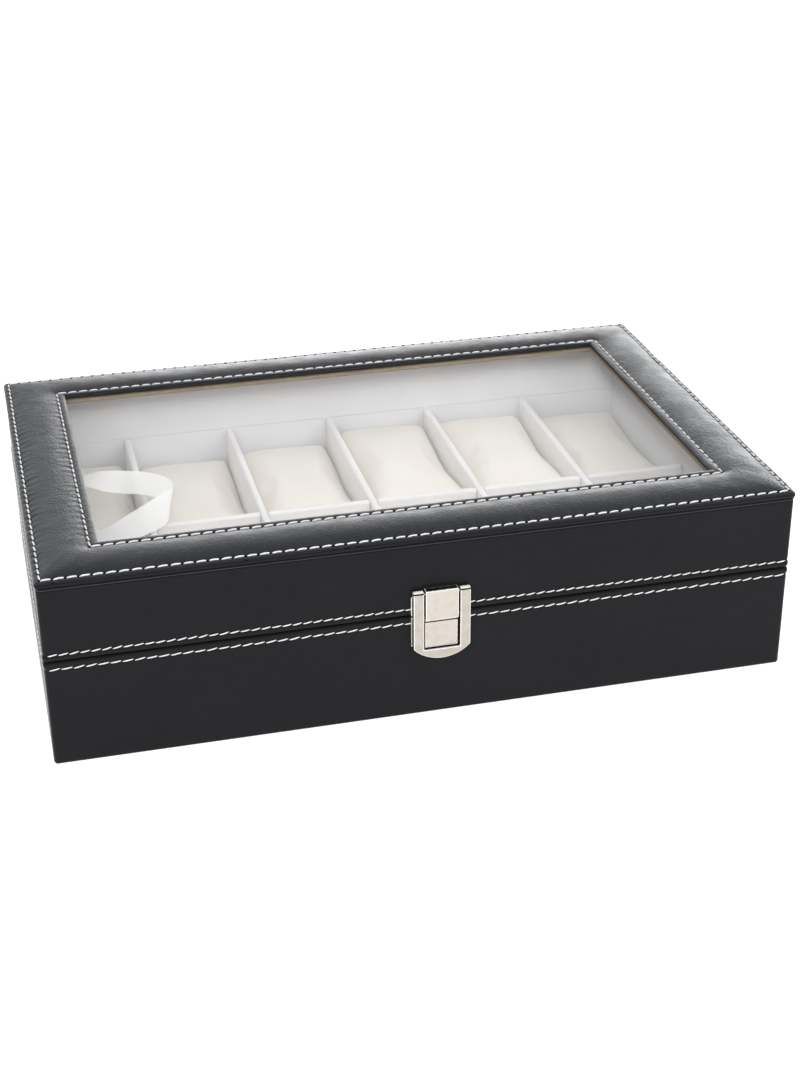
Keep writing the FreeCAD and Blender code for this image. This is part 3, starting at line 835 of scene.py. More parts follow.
def arc(centre: Pair, radii: Pair, start: float, end: float, steps: int) -> list[Pair]:
    """Points of an elliptical arc in a cross-section.

    Args:
        centre: Inset and height of the middle.
        radii: Radius along the inset and radius in height.
        start: First angle, in degrees.
        end: Last angle, in degrees.
        steps: Number of steps.

    Returns:
        Pairs of inset and height.
    """
    angles = [math.radians(start + (end - start) * i / steps) for i in range(steps + 1)]
    return [(centre[0] + radii[0] * math.cos(a), centre[1] + radii[1] * math.sin(a)) for a in angles]


def wave(travel: float, length: float, seed: float) -> float:
    """Smooth fixed noise along a seam, between about -1 and 1."""
    return noise.noise(Vector((travel / length, seed, 0.5 * seed)))


@dataclass(frozen=True)
class Stitch:
    """Shape of one stitch and how it varies."""

    pitch: float
    length: float
    thickness: float
    seed: int
    rise: float = 0.0
    slant: float = 0.0
    wander: float = 0.0


@dataclass(frozen=True)
class SeamRun:
    """Straight stretch of a seam, from one point to another, and the way its stitches face."""

    start: Vector
    end: Vector
    facing: Vector


class SeamTree(Nodes):
    """Geometry Nodes tree that lays arched stitches along the edges of a mesh."""

    NUMBERS = ("Pitch", "Length", "Thickness", "Rise", "Slant", "Wander")

    def __init__(self) -> None:
        """Build the tree and its named inputs."""
        super().__init__(bpy.data.node_groups.new("seam", "GeometryNodeTree"))
        face = self.tree.interface
        self.ids = {}
        face.new_socket("Geometry", in_out="OUTPUT", socket_type="NodeSocketGeometry")
        face.new_socket("Geometry", in_out="INPUT", socket_type="NodeSocketGeometry")
        kinds = {name: "NodeSocketFloat" for name in self.NUMBERS}
        kinds |= {"Seed": "NodeSocketInt", "Thread": "NodeSocketMaterial"}
        for name, kind in kinds.items():
            self.ids[name] = face.new_socket(name, in_out="INPUT", socket_type=kind).identifier
        self.source = self.tree.nodes.new("NodeGroupInput").outputs
        self.lay()

    def one_stitch(self) -> Socket:
        """Arched thread, thinner at its ends."""
        half = self.math("MULTIPLY", self.source["Length"], 0.5)
        start = self.add("ShaderNodeCombineXYZ", {"X": self.math("MULTIPLY", half, -1.0)})
        middle = self.add("ShaderNodeCombineXYZ", {"Z": self.source["Rise"]})
        end = self.add("ShaderNodeCombineXYZ", {"X": half})
        ends = {"Start": start.outputs[0], "Middle": middle.outputs[0], "End": end.outputs[0]}
        line = self.add("GeometryNodeCurveQuadraticBezier", ends)
        line.inputs["Resolution"].default_value = 6
        along = self.tree.nodes.new("GeometryNodeSplineParameter").outputs["Factor"]
        centred = self.math("SUBTRACT", self.math("MULTIPLY", along, 2.0), 1.0)
        pointed = self.math("POWER", self.math("ABSOLUTE", centred, 0.0), 4.0)
        taper = self.math("ADD", self.math("MULTIPLY", pointed, -0.62), 1.0)
        girth = self.math("MULTIPLY", taper, self.math("MULTIPLY", self.source["Thickness"], 0.5))
        ring = self.add("GeometryNodeCurvePrimitiveCircle")
        ring.inputs["Resolution"].default_value = 6
        ring.inputs["Radius"].default_value = 1.0
        links = {"Curve": line.outputs[0], "Profile Curve": ring.outputs["Curve"], "Scale": girth}
        tube = self.add("GeometryNodeCurveToMesh", links)
        tube.inputs["Fill Caps"].default_value = True
        return tube.outputs["Mesh"]

    def lay(self) -> None:
        """Resample the seam, turn a stitch to each point's direction and make it all plain mesh."""
        line = self.add("GeometryNodeMeshToCurve", {"Mesh": self.source["Geometry"]})
        points = self.add(
            "GeometryNodeResampleCurve",
            {"Curve": line.outputs[0], "Length": self.source["Pitch"]},
            mode="LENGTH",
        )
        tangent = self.tree.nodes.new("GeometryNodeInputTangent").outputs[0]
        facing = self.add("GeometryNodeInputNamedAttribute", data_type="FLOAT_VECTOR")
        facing.inputs["Name"].default_value = "facing"
        ahead = self.add("FunctionNodeAlignRotationToVector", {"Vector": tangent}, axis="X")
        upright = self.add(
            "FunctionNodeAlignRotationToVector",
            {"Rotation": ahead.outputs[0], "Vector": facing.outputs["Attribute"]},
            axis="Z",
            pivot_axis="X",
        )
        wander = self.add("FunctionNodeRandomValue", {"Seed": self.source["Seed"]}, data_type="FLOAT")
        wander.inputs[2].default_value = -1.0
        stray = self.math("MULTIPLY", wander.outputs[1], self.source["Wander"])
        turn = self.add("ShaderNodeCombineXYZ", {"Z": self.math("ADD", stray, self.source["Slant"])})
        spin = self.add("FunctionNodeEulerToRotation", {"Euler": turn.outputs[0]})
        turned = self.add(
            "FunctionNodeRotateRotation",
            {"Rotation": upright.outputs[0], "Rotate By": spin.outputs[0]},
            rotation_space="LOCAL",
        )
        laid = self.add(
            "GeometryNodeInstanceOnPoints",
            {
                "Points": points.outputs[0],
                "Instance": self.one_stitch(),
                "Rotation": turned.outputs[0],
            },
        )
        plain = self.add("GeometryNodeRealizeInstances", {"Geometry": laid.outputs[0]})
        smooth = self.add("GeometryNodeSetShadeSmooth", {"Geometry": plain.outputs[0]})
        thread = {"Geometry": smooth.outputs[0], "Material": self.source["Thread"]}
        finished = self.add("GeometryNodeSetMaterial", thread)
        self.add("NodeGroupOutput", {"Geometry": finished.outputs[0]})

    def sew(
        self, name: str, runs: Sequence[SeamRun], stitch: Stitch, finish: Finish
    ) -> bpy.types.Object:
        """Lay stitches along straight runs.

        Args:
            name: Name of the piece.
            runs: Stretches of the seam.
            stitch: Shape of the stitches.
            finish: Finish of the thread.

        Returns:
            All stitches as one plain mesh.
        """
        mesh = bpy.data.meshes.new(name)
        ends = [tuple(point) for run in runs for point in (run.start, run.end)]
        mesh.from_pydata(ends, [(2 * i, 2 * i + 1) for i in range(len(runs))], [])
        facing = mesh.attributes.new("facing", "FLOAT_VECTOR", "POINT")
        facing.data.foreach_set("vector", [x for run in runs for x in (*run.facing, *run.facing)])
        piece = bpy.data.objects.new(name, mesh)
        bpy.context.scene.collection.objects.link(piece)
        modifier = piece.modifiers.new("seam", "NODES")
        modifier.node_group = self.tree
        for label in self.NUMBERS:
            modifier[self.ids[label]] = getattr(stitch, label.lower())
        modifier[self.ids["Seed"]] = stitch.seed
        modifier[self.ids["Thread"]] = finish.material
        return flattened(piece)


def ring_runs(
    path: RingPath, inset: float, height: float, ends: float, facing: Vector | None
) -> list[SeamRun]:
    """Seam runs on the four sides of a rectangle.

    Args:
        path: Outermost way round the box.
        inset: Distance of the seam inside it.
        height: Level of the seam.
        ends: Distance to keep from each corner.
        facing: Way the stitches face, or None for out of the wall.

    Returns:
        One run for each wall.
    """
    runs = []
    for side in Side:
        out, run = path.halves(side)
        middle = side.outward * (out - inset) + Vector((0.0, 0.0, height))
        reach = side.along * (run - inset - ends)
        runs.append(SeamRun(middle - reach, middle + reach, facing or side.outward))
    return runs


def without(runs: Sequence[SeamRun], gaps: Sequence[Box], margin: float) -> list[SeamRun]:
    """Leave out the stretches of seam runs along X that pass under plates.

    Args:
        runs: Straight runs.
        gaps: Boxes of the plates.
        margin: Distance to keep from each plate.

    Returns:
        The runs that are left.
    """
    left = []
    for run in runs:
        pieces = [run]
        for low, high in gaps:
            level = low.z < run.start.z < high.z
            on_wall = abs(run.start.y - (low.y + high.y) / 2.0) < PLATE_REACH
            if not level or not on_wall or abs(run.facing.y) < 0.5:
                continue
            kept = []
            for piece in pieces:
                way = 1.0 if piece.end.x > piece.start.x else -1.0
                near, far = low.x - margin, high.x + margin
                if way < 0.0:
                    near, far = far, near
                if (near - piece.start.x) * way > 0.0:
                    kept.append(SeamRun(piece.start, Vector((near, *piece.end[1:])), piece.facing))
                if (piece.end.x - far) * way > 0.0:
                    kept.append(SeamRun(Vector((far, *piece.start[1:])), piece.end, piece.facing))
            pieces = kept
        left.extend(pieces)
    return left


@dataclass
class PaddedTop:
    """Padded, stitched leather cover of the lid's window frame."""

    seams: SeamTree
    outer_seam: float = 2.3 * MM
    inner_seam: float = 22.6 * MM
    border: float = 26.0 * MM
    bead: float = 1.35 * MM
    lip_top: float = 2.3 * MM
    outer_seam_level: float = 2.75 * MM
    inner_seam_level: float = 3.95 * MM
    crown: float = 1.75 * MM
    corner: float = 1.5 * MM
    soft_corner: float = 7.0 * MM
    pitch: float = 4.7 * MM
    pucker: float = 0.2 * MM
    pucker_in: float = 2.2 * MM
    pucker_out: float = 1.3 * MM
    pucker_spread: Pair = (2.2 * MM, 6.0 * MM)
    long_wave: float = 9.0 * MM
    short_wave: float = 3.6 * MM
    slow_wave: float = 26.0 * MM
    mitre_fade: float = 7.0 * MM
    mitre_dip: float = 0.08 * MM
    mitre_dip_reach: float = 5.0 * MM
    mitre_swell: float = 0.05 * MM
    mitre_swell_place: float = 11.0 * MM
    mitre_swell_reach: float = 4.0 * MM
    reach: dict[Side, float] = field(default_factory=lambda: dict(zip(Side, (0.7, 0.6, 0.5, 1.5))))
    slack: dict[Side, float] = field(default_factory=lambda: dict(zip(Side, (0.14, 0.3, 0.14, 0.14))))
    tuck: float = 0.72 * MM
    fold: float = 0.4 * MM
    hem: float = 1.1 * MM
    lip_middle: float = 1.6 * MM
    lip_height: float = 1.35 * MM
    dip: float = 0.16 * MM
    roll: float = 0.52
    roll_middle: float = 0.5 * MM
    roll_height: float = 0.8 * MM
    skin: float = 0.03 * MM
    padding_steps: int = 26
    board_rim: float = 2.0 * MM
    board_slope: float = 7.0 * MM
    reveal: float = 0.5 * MM
    step: float = 0.85 * MM

    def __post_init__(self) -> None:
        """Take the cover's place from the CAD model."""
        low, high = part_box("padded_frame_cover")
        self.path = RingPath(high.x, high.y, self.step)
        self.foot = low.z
        board_low, board_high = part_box("top_board_frame")
        self.board = board_high.z
        self.board_inset = high.x - board_high.x
        self.rim = board_low.z + self.board_rim

    def padding(self) -> list[Pair]:
        """Crowned top of the cross-section, from the outer seam to the inner one."""
        found = []
        for i in range(self.padding_steps + 1):
            share = 0.5 - 0.5 * math.cos(math.pi * i / self.padding_steps)
            inset = self.outer_seam + share * (self.inner_seam - self.outer_seam)
            level = self.outer_seam_level + share * (self.inner_seam_level - self.outer_seam_level)
            puff = self.crown * (1.0 - abs(2.0 * share - 1.0) ** 2.3)
            found.append((inset, self.foot + level + puff))
        return found

    def profile(self) -> list[Pair]:
        """Cross-section from the fold under the lip, over the padding, to the window and back under."""
        foot = self.foot
        deep = self.tuck + self.fold
        hem, bend = foot - self.hem, foot - 0.1 * MM
        fold = [(deep, hem), (deep, bend), (self.tuck, foot), (self.tuck, foot + 0.25 * MM)]
        lip_middle = (self.bead, foot + self.lip_middle)
        lip = arc(lip_middle, (self.bead, self.lip_height), -125.0, -270.0, 9)
        dip = [(0.8 * self.outer_seam, foot + self.outer_seam_level + self.dip)]
        roll = self.roll * (self.border - self.inner_seam)
        under = self.board + self.skin
        roll_middle = (self.border - roll, under + self.roll_middle)
        edge = arc(roll_middle, (roll, self.roll_height), 145.0, -25.0, 9)
        tuck = [(self.border - 0.35 * MM, under), (self.board_slope, under)]
        tuck.append((1.2 * MM, self.rim + self.skin))
        behind = deep + 0.04 * MM
        back = [(self.tuck + 0.06 * MM, self.rim), (behind, bend), (behind, hem)]
        return [*fold, *lip, *dip, *self.padding(), *edge, *tuck, *back]

    def radius(self, inset: float, height: float) -> float:
        """Corner radius: sharp round the board's edge, larger over the padding than along the seams."""
        if height < self.rim:
            return 0.2 * MM + self.corner * max(0.0, 1.0 - inset / self.tuck)
        share = (inset - self.outer_seam) / (self.inner_seam - self.outer_seam)
        soft = self.soft_corner * math.sin(math.pi * share) if 0.0 < share < 1.0 else 0.0
        return 0.2 * MM + self.corner * (1.0 - 0.8 * inset / self.border) + soft

    def pinch(self, column: Column, seam: float, place: float, seed: float) -> float:
        """Rise of the leather between two needle holes, or fall at one, different at each stitch.

        Args:
            column: Place on the way round.
            seam: Inset of the seam.
            place: Distance along the wall from its middle.
            seed: Choice of the fixed noise.

        Returns:
            A factor between about -1.5 and 1.5.
        """
        reach = 2.0 * (self.path.halves(column.side)[1] - seam) - self.pitch
        count = int(reach / self.pitch)
        phase = place * count / reach + count / 2.0
        draw = Vector((round(phase) * 0.71, seed, column.side.value * 3.7))
        strength = 0.85 + 0.9 * noise.noise(draw)
        return strength * math.cos(2.0 * math.pi * phase)

    def swell(self, column: Column, inset: float, height: float) -> float:
        """Puckers along the seams, a soft fold at each mitre and a slow unevenness."""
        if height < self.rim + 0.1 * MM or inset > self.border - 0.6 * MM:
            return 0.0
        corner = self.path.from_corner(column, inset)
        fade = min(1.0, corner / self.mitre_fade)
        place = self.path.point(column, inset, self.radius(inset, height)).dot(column.side.along)
        from_outer, from_inner = inset - self.outer_seam, self.inner_seam - inset
        slow = wave(column.travel + 0.8 * inset, self.slow_wave, 3.0 + inset / (14.0 * MM))
        rise = self.slack[column.side] * MM * slow
        outer = (11.0, 1.0, self.outer_seam, from_outer)
        inner = (23.0, 0.5, self.inner_seam, from_inner)
        for seed, strength, seam, gap in (outer, inner):
            depth = fade * self.pucker * self.reach[column.side] * strength
            near = math.exp(-abs(gap) / (self.pucker_in if gap > 0.0 else self.pucker_out))
            rise += depth * near * self.pinch(column, seam, place, seed)
            if gap > 0.0:
                draw = seed + column.side.value
                long = abs(wave(place + 0.25 * gap, self.long_wave, draw + 5.0))
                tuck = wave(place + 0.35 * gap, self.short_wave, draw)
                reach = self.pucker_spread[0] + self.pucker_spread[1] * long
                rise += 0.8 * depth * tuck * math.exp(-((gap / reach) ** 2))
        on_padding = from_outer > 0.0 and from_inner > 0.0
        if on_padding and column.turn is None:
            middle = math.sin(math.pi * from_outer / (self.inner_seam - self.outer_seam))
            from_swell = corner - self.mitre_swell_place
            rise -= self.mitre_dip * middle * math.exp(-((corner / self.mitre_dip_reach) ** 2))
            rise += self.mitre_swell * middle * math.exp(-((from_swell / self.mitre_swell_reach) ** 2))
        return rise

    def fibreboard(self) -> None:
        """Make the board under the padding, sloped to its outer edge and raw round the window."""
        edge, window = self.board_inset, self.border - self.reveal
        blunt = 0.2 * MM
        profile = [
            (edge, self.foot),
            (edge, self.rim),
            (self.board_slope, self.board),
            (window - blunt, self.board),
            (window, self.board - blunt),
            (window, self.foot + blunt),
            (window - blunt, self.foot),
        ]

        def square(inset: float, height: float) -> float:
            """Corner radius, all but square."""
            return 0.1 * MM

        def ragged(column: Column, inset: float, height: float) -> float:
            """Slight unevenness of the sawn edge."""
            return 0.05 * MM * wave(column.travel, 5.0 * MM, 41.0 + height / MM)

        path = RingPath(self.path.half_x, self.path.half_y, 4.0 * MM, 3)
        ring = lofted_ring("fibreboard_frame", path, profile, square, ragged, Finish.FIBREBOARD)
        ring.data.shade_flat()
        settle(ring, Body.LID.value, ["top_board_frame"])

    def build(self) -> None:
        """Make the board, the cover, its two rows of stitches and the near-black marks that paint the
        shade in their needle holes.
        """
        self.fibreboard()
        cover = lofted_ring(
            "padded_cover", self.path, self.profile(), self.radius, self.swell, Finish.PADDED_LEATHER
        )
        cover.data.materials.append(Finish.WALL_LEATHER.material)
        for face in cover.data.polygons:
            if face.center.z < self.foot + self.lip_top:
                face.material_index = 1
        settle(cover, Body.LID.value, ["padded_frame_cover", "frame_padding"])
        stitch = Stitch(
            pitch=self.pitch,
            length=4.25 * MM,
            thickness=0.72 * MM,
            seed=5,
            rise=0.5 * MM,
            slant=math.radians(5.0),
            wander=math.radians(3.0),
        )
        # The needle holes are near-black marks laid along the seams: painted shade
        hole = Stitch(pitch=self.pitch, length=1.5 * MM, thickness=0.85 * MM, seed=6)
        rows = ((self.outer_seam, self.outer_seam_level), (self.inner_seam, self.inner_seam_level))
        thread_runs, hole_runs = [], []
        for inset, level in rows:
            height = self.foot + level
            thread_runs += ring_runs(self.path, inset, height + 0.12 * MM, stitch.pitch / 2.0, UP)
            hole_runs += ring_runs(self.path, inset, height + 0.05 * MM, 0.0, UP)
        settle(self.seams.sew("top_stitches", thread_runs, stitch, Finish.THREAD), Body.LID.value)
        settle(self.seams.sew("top_needle_holes", hole_runs, hole, Finish.HOLE), Body.LID.value)


@dataclass
class WallWrap:
    """Leather round the walls of the base or the lid, folded over the rim and stitched near it."""

    seams: SeamTree
    body: Body
    rim_up: bool
    seam_level: float
    stitch: Stitch
    fold: float = 0.8 * MM
    corner: float = 1.7 * MM
    groove: float = 0.16 * MM
    groove_reach: float = 0.55 * MM
    bulge: float = 0.22 * MM
    pinch_wave: float = 2.2 * MM
    slow: float = 0.06 * MM
    slow_wave: float = 47.0 * MM
    slow_height: float = 23.0 * MM
    edge_radius: float = 0.36 * MM
    edge_inset: float = 0.42 * MM
    thread_out: float = 0.08 * MM
    plate_gap: float = 0.4 * MM
    step: float = 2.5 * MM
    overlap: float = 4.4 * MM
    top_gap: float = 0.5 * MM

    def __post_init__(self) -> None:
        """Take the wrap's place from the CAD model; the lid's stays a little below the padded lip."""
        self.node = f"{self.body.value}_leather_wrap"
        low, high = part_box(self.node)
        self.low = low.z
        self.high = high.z if self.rim_up else high.z - self.top_gap
        self.path = RingPath(high.x, high.y, self.step, 8)

    def profile(self) -> list[Pair]:
        """Closed cross-section: the outside with its seam, the fold over the rim and the back."""
        fold, depth = self.fold, 1.0 * MM
        foot = arc((fold, self.low + fold), (fold, fold), -90.0, -180.0, 5)
        head = arc((fold, self.high - fold), (fold, fold), -180.0, -270.0, 5)
        shifts = (0.0, 0.4, 0.8, 1.4, 2.2)
        levels = {self.seam_level + way * shift * MM for way in (-1.0, 1.0) for shift in shifts}
        count = 12
        span = self.high - self.low - 2.0 * fold
        levels |= {self.low + fold + span * i / count for i in range(1, count)}
        rim = self.high if self.rim_up else self.low
        near_rim = [rim + shift * MM * (-1.0 if self.rim_up else 1.0) for shift in (1.1, 1.6, 2.1)]
        levels |= set(near_rim)
        inside = sorted(level for level in levels if self.low + fold < level < self.high - fold)
        face = []
        for level in inside:
            if not face or level - face[-1][1] > 0.15 * MM:
                face.append((0.0, level))
        back = [(depth, self.high - depth), (depth, self.low + depth)]
        if self.rim_up:
            lap = [(self.overlap, self.high), (self.overlap, self.high - depth)]
            return [*foot, *face, *head, *lap, *back]
        lap = [(self.overlap, self.low + depth), (self.overlap, self.low)]
        return [*foot, *face, *head, *back, *lap]

    def radius(self, inset: float, height: float) -> float:
        """Corner radius at an inset, the same at every height."""
        return max(0.25 * MM, self.corner - inset)

    def swell(self, column: Column, inset: float, height: float) -> float:
        """Groove under the stitches, a soft bulge from seam to rim and a slow unevenness."""
        if inset > 0.5 * MM:
            return 0.0
        rim = self.high if self.rim_up else self.low
        toward_rim = (height - self.seam_level) / (rim - self.seam_level)
        groove = math.exp(-(((height - self.seam_level) / self.groove_reach) ** 2))
        bulge = math.sin(math.pi * toward_rim) if 0.0 < toward_rim < 1.0 else 0.0
        pinch = 1.0 + 0.5 * wave(column.travel, self.pinch_wave, 31.0)
        slow = wave(column.travel, self.slow_wave, 7.0 + height / self.slow_height)
        return self.bulge * bulge * pinch - self.groove * groove * pinch + self.slow * slow

    def turned_edge(self) -> None:
        """Make the thin roll of leather between the lid's wall and the padded lip."""
        centre = (self.edge_inset, self.high + 0.02 * MM)
        cord = arc(centre, (self.edge_radius, self.edge_radius), -90.0, -405.0, 7)
        padded = Finish.PADDED_LEATHER
        edge = lofted_ring("lid_turned_edge", self.path, cord, self.radius, no_swell, padded)
        settle(edge, self.body.value)

    def build(self, plates: Sequence[str]) -> None:
        """Make the wrap and its row of stitches.

        Args:
            plates: CAD nodes that lie over the seam.
        """
        name = self.body.value
        profile, wall = self.profile(), Finish.WALL_LEATHER
        wrap = lofted_ring(f"{name}_wall_leather", self.path, profile, self.radius, self.swell, wall)
        settle(wrap, name, [self.node])
        if not self.rim_up:
            self.turned_edge()
        ends = self.corner + self.stitch.pitch / 2.0
        runs = ring_runs(self.path, -self.thread_out, self.seam_level, ends, None)
        runs = without(runs, [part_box(plate) for plate in plates], self.plate_gap)
        settle(self.seams.sew(f"{name}_wall_stitches", runs, self.stitch, Finish.THREAD), name)


@dataclass
class Linings:
    """Velvet-covered lining cards, dividers and the frame that holds the glass."""

    card_round: float = 0.25 * MM
    divider_round: float = 1.1 * MM
    seam_cover: float = 0.3 * MM
    bevel: float = 4.5 * MM
    ledge: float = 2.0 * MM
    pane_gap: float = 0.2 * MM

    def card(self, part: Body, side: Side) -> None:
        """Make one lining card; the lid's reach down over most of the gap to the base's."""
        node = f"{part.value}_{side.name.lower()}_lining"
        piece = softened(node, f"velvet_{node}", Finish.LINING, self.card_round, 3)
        if part is Body.LID:
            low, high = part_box(node)
            for vert in piece.data.vertices:
                if vert.co.z < (low.z + high.z) / 2.0:
                    vert.co.z -= self.seam_cover
        settle(piece, body_of(node), [node])

    def retainer(self) -> None:
        """Make the frame that holds the glass, bevelled away under its window, out of sight."""
        node = "glass_retainer"
        low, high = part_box(node)
        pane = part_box("glass_pane")
        rebate = high.x - pane[1].x - self.pane_gap
        window = rebate + self.ledge
        step = pane[0].z
        profile = [
            (0.0, low.z),
            (0.0, high.z),
            (rebate, high.z),
            (rebate, step),
            (window, step),
            (window, step - 0.3 * MM),
            (window - self.bevel, low.z),
        ]

        def sharp(inset: float, height: float) -> float:
            """Corner radius, all but square."""
            return 0.05 * MM

        path = RingPath(high.x, high.y, 20.0 * MM, 2)
        ring = lofted_ring(f"velvet_{node}", path, profile, sharp, no_swell, Finish.LINING)
        ring.data.shade_flat()
        settle(ring, body_of(node), [node])

    def build(self) -> None:
        """Make the cards, the frame under the glass and the dividers."""
        for part in (Body.BASE, Body.LID):
            for side in Side:
                self.card(part, side)
        self.retainer()
        dividers = [f"cross_divider_{number}" for number in range(1, COLUMNS)]
        for node in (*dividers, "row_divider"):
            piece = softened(node, f"velvet_{node}", Finish.DIVIDER, self.divider_round, 4)
            settle(piece, body_of(node), [node])
        dress(["floor_lining"], Finish.LINING)


@dataclass
class Pillow:
    """Loose velvet pillow for one watch."""

    row: Row
    number: int
    rise: float
    shrink: float = 0.8 * MM
    edge: float = 2.8 * MM
    voxel: float = 2.6 * MM
    cap: float = 2.4 * MM
    pressure: float = 4.0
    frames: int = 20
    clearance: float = 0.35 * MM
    crown: float = 1.6 * MM
    uneven: float = 0.5 * MM
    lumps: float = 55.0

    def __post_init__(self) -> None:
        """Take the pillow's place from the CAD model."""
        self.node = f"pillow_{self.row.value}_{self.number}"
        self.low, self.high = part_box(self.node)

    def block(self) -> bpy.types.Object:
        """Rounded block, a little smaller than the filled pillow."""
        low = self.low + Vector((self.shrink, self.shrink, 0.0))
        high = self.high - Vector((self.shrink, self.shrink, self.shrink))
        tops, depths, widths = (low.z, high.z), (low.y, high.y), (low.x, high.x)
        corners = [Vector((x, y, z)) for z in tops for y in depths for x in widths]
        piece = new_piece(f"velvet_{self.node}", corners, BLOCK_FACES, Finish.PILLOW)
        bevel = piece.modifiers.new("soft_edges", "BEVEL")
        bevel.width = self.edge
        bevel.segments = 3
        remesh = piece.modifiers.new("skin", "REMESH")
        remesh.mode = "VOXEL"
        remesh.voxel_size = self.voxel
        return flattened(piece)

    def puff(self, piece: bpy.types.Object) -> None:
        """Fill the pillow by cloth simulation, with a limit on how far it may swell."""
        rest = [vert.co.copy() for vert in piece.data.vertices]
        cloth = piece.modifiers.new("filling", "CLOTH")
        cloth.settings.use_pressure = True
        cloth.settings.uniform_pressure_force = self.pressure
        cloth.settings.effector_weights.gravity = 0.0
        cloth.settings.quality = 6
        scene = bpy.context.scene
        for step in range(1, self.frames + 1):
            scene.frame_set(step)
        flattened(piece)
        scene.frame_set(1)
        for vert, start in zip(piece.data.vertices, rest):
            move = vert.co - start
            if move.length > self.cap:
                vert.co = start + move.normalized() * self.cap

    def build(self) -> None:
        """Make the pillow and put it on its body."""
        piece = self.block()
        self.puff(piece)
        self.shape(piece)
        smooth = piece.modifiers.new("smooth", "SUBSURF")
        smooth.levels = smooth.render_levels = 1
        flattened(piece)
        piece.data.shade_smooth()
        settle(piece, self.node, [self.node])

    def shape(self, piece: bpy.types.Object) -> None:
        """Crown the top, make it a little uneven and keep the pillow in its compartment."""
        middle = (self.low + self.high) / 2.0
        half = (self.high - self.low) / 2.0
        stretch = 1.0 + self.rise / (2.0 * half.z)
        for vert in piece.data.vertices:
            share = (vert.co - middle) / half.x
            along = (vert.co.y - middle.y) / half.y
            top = max(0.0, (vert.co.z - middle.z) / half.z)
            dome = (1.0 - min(1.0, abs(share.x)) ** 2) * (1.0 - 0.7 * min(1.0, abs(along)) ** 2)
            uneven = noise.noise(vert.co * self.lumps + Vector((self.number, 0.0, 0.0)))
            vert.co.z += top * (self.crown * dome + self.uneven * uneven)
            for axis in (0, 1):
                room = half[axis] + self.clearance
                vert.co[axis] = middle[axis] + max(-room, min(room, vert.co[axis] - middle[axis]))
            vert.co.z = max(self.low.z, self.low.z + (vert.co.z - self.low.z) * stretch)


@dataclass(frozen=True)
class RibbonStation:
    """Far and near edge of the ribbon at one place along it, in millimetres."""

    far: Point
    near: Point


@dataclass
class Ribbon:
    """White ribbon that stops the lid, lying in a loose loop under the glass."""

    width: float = 14.0 * MM
    steps: int = 12
    across: int = 8

    # From the lid's lining, round the loop, to the base's lining
    STATIONS = (
        RibbonStation((-143.0, 38.0, 59.5), (-143.0, 24.0, 59.0)),
        RibbonStation((-132.0, 38.2, 58.0), (-132.0, 24.3, 58.6)),
        RibbonStation((-121.0, 38.2, 56.9), (-121.2, 24.8, 57.6)),
        RibbonStation((-113.5, 37.4, 58.1), (-113.0, 24.2, 54.4)),
        RibbonStation((-103.5, 35.6, 58.0), (-105.4, 22.6, 53.2)),
        RibbonStation((-94.0, 30.0, 58.6), (-98.2, 17.4, 54.3)),
        RibbonStation((-87.6, 21.5, 59.8), (-91.5, 8.6, 55.0)),
        RibbonStation((-85.0, 11.5, 59.6), (-88.9, 1.0, 50.9)),
        RibbonStation((-92.5, 6.4, 57.6), (-91.6, -4.6, 49.6)),
        RibbonStation((-102.0, 2.6, 54.9), (-99.0, -9.8, 48.8)),
        RibbonStation((-110.7, -0.8, 51.9), (-109.2, -14.2, 48.6)),
        RibbonStation((-119.2, -3.2, 49.2), (-118.6, -17.2, 48.4)),
        RibbonStation((-131.0, -4.2, 48.7), (-131.0, -18.2, 48.4)),
        RibbonStation((-143.0, -4.4, 48.5), (-143.0, -18.4, 48.4)),
    )

    @staticmethod
    def between(points: Sequence[Vector], index: int, share: float) -> Vector:
        """Point on a smooth curve through a list of points.

        Args:
            points: Points that the curve passes through.
            index: Number of the stretch.
            share: Place on the stretch, from 0 to 1.

        Returns:
            The point on the curve.
        """
        last = len(points) - 1
        before, start, end, after = (points[min(last, max(0, index + k))] for k in (-1, 0, 1, 2))
        lead_in, lead_out = (end - before) / 2.0, (after - start) / 2.0
        s, c = share, share * share
        cube = c * s
        return (
            start * (2 * cube - 3 * c + 1)
            + lead_in * (cube - 2 * c + s)
            + end * (-2 * cube + 3 * c)
            + lead_out * (cube - c)
        )

    def build(self) -> None:
        """Make the ribbon as one sheet that runs from the lid's lining, round the loop, to the base's.
        """
        fars = [Vector(station.far) * MM for station in self.STATIONS]
        nears = [Vector(station.near) * MM for station in self.STATIONS]
        points, layout = [], []
        length = 0.0
        previous = None
        for index in range(len(fars) - 1):
            last = index == len(fars) - 2
            for step in range(self.steps + (1 if last else 0)):
                share = step / self.steps
                far = self.between(fars, index, share)
                near = self.between(nears, index, share)
                middle = (far + near) / 2.0
                half = (far - near).normalized() * self.width / 2.0
                length += (middle - previous).length if previous else 0.0
                previous = middle
                for k in range(self.across + 1):
                    points.append(middle + half * (2.0 * k / self.across - 1.0))
                    layout.append((length, self.width * k / self.across))
        row = self.across + 1
        rows = len(points) // row
        faces = [
            (i * row + k, i * row + k + 1, (i + 1) * row + k + 1, (i + 1) * row + k)
            for i in range(rows - 1)
            for k in range(self.across)
        ]
        piece = new_piece("satin_ribbon", points, faces, Finish.RIBBON)
        weave = piece.data.uv_layers.new(name="weave")
        for loop in piece.data.loops:
            weave.data[loop.index].uv = layout[loop.vertex_index]
        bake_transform(piece)
        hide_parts("ribbon_stay")
        log.info("satin_ribbon is %.1f mm long", length / MM)


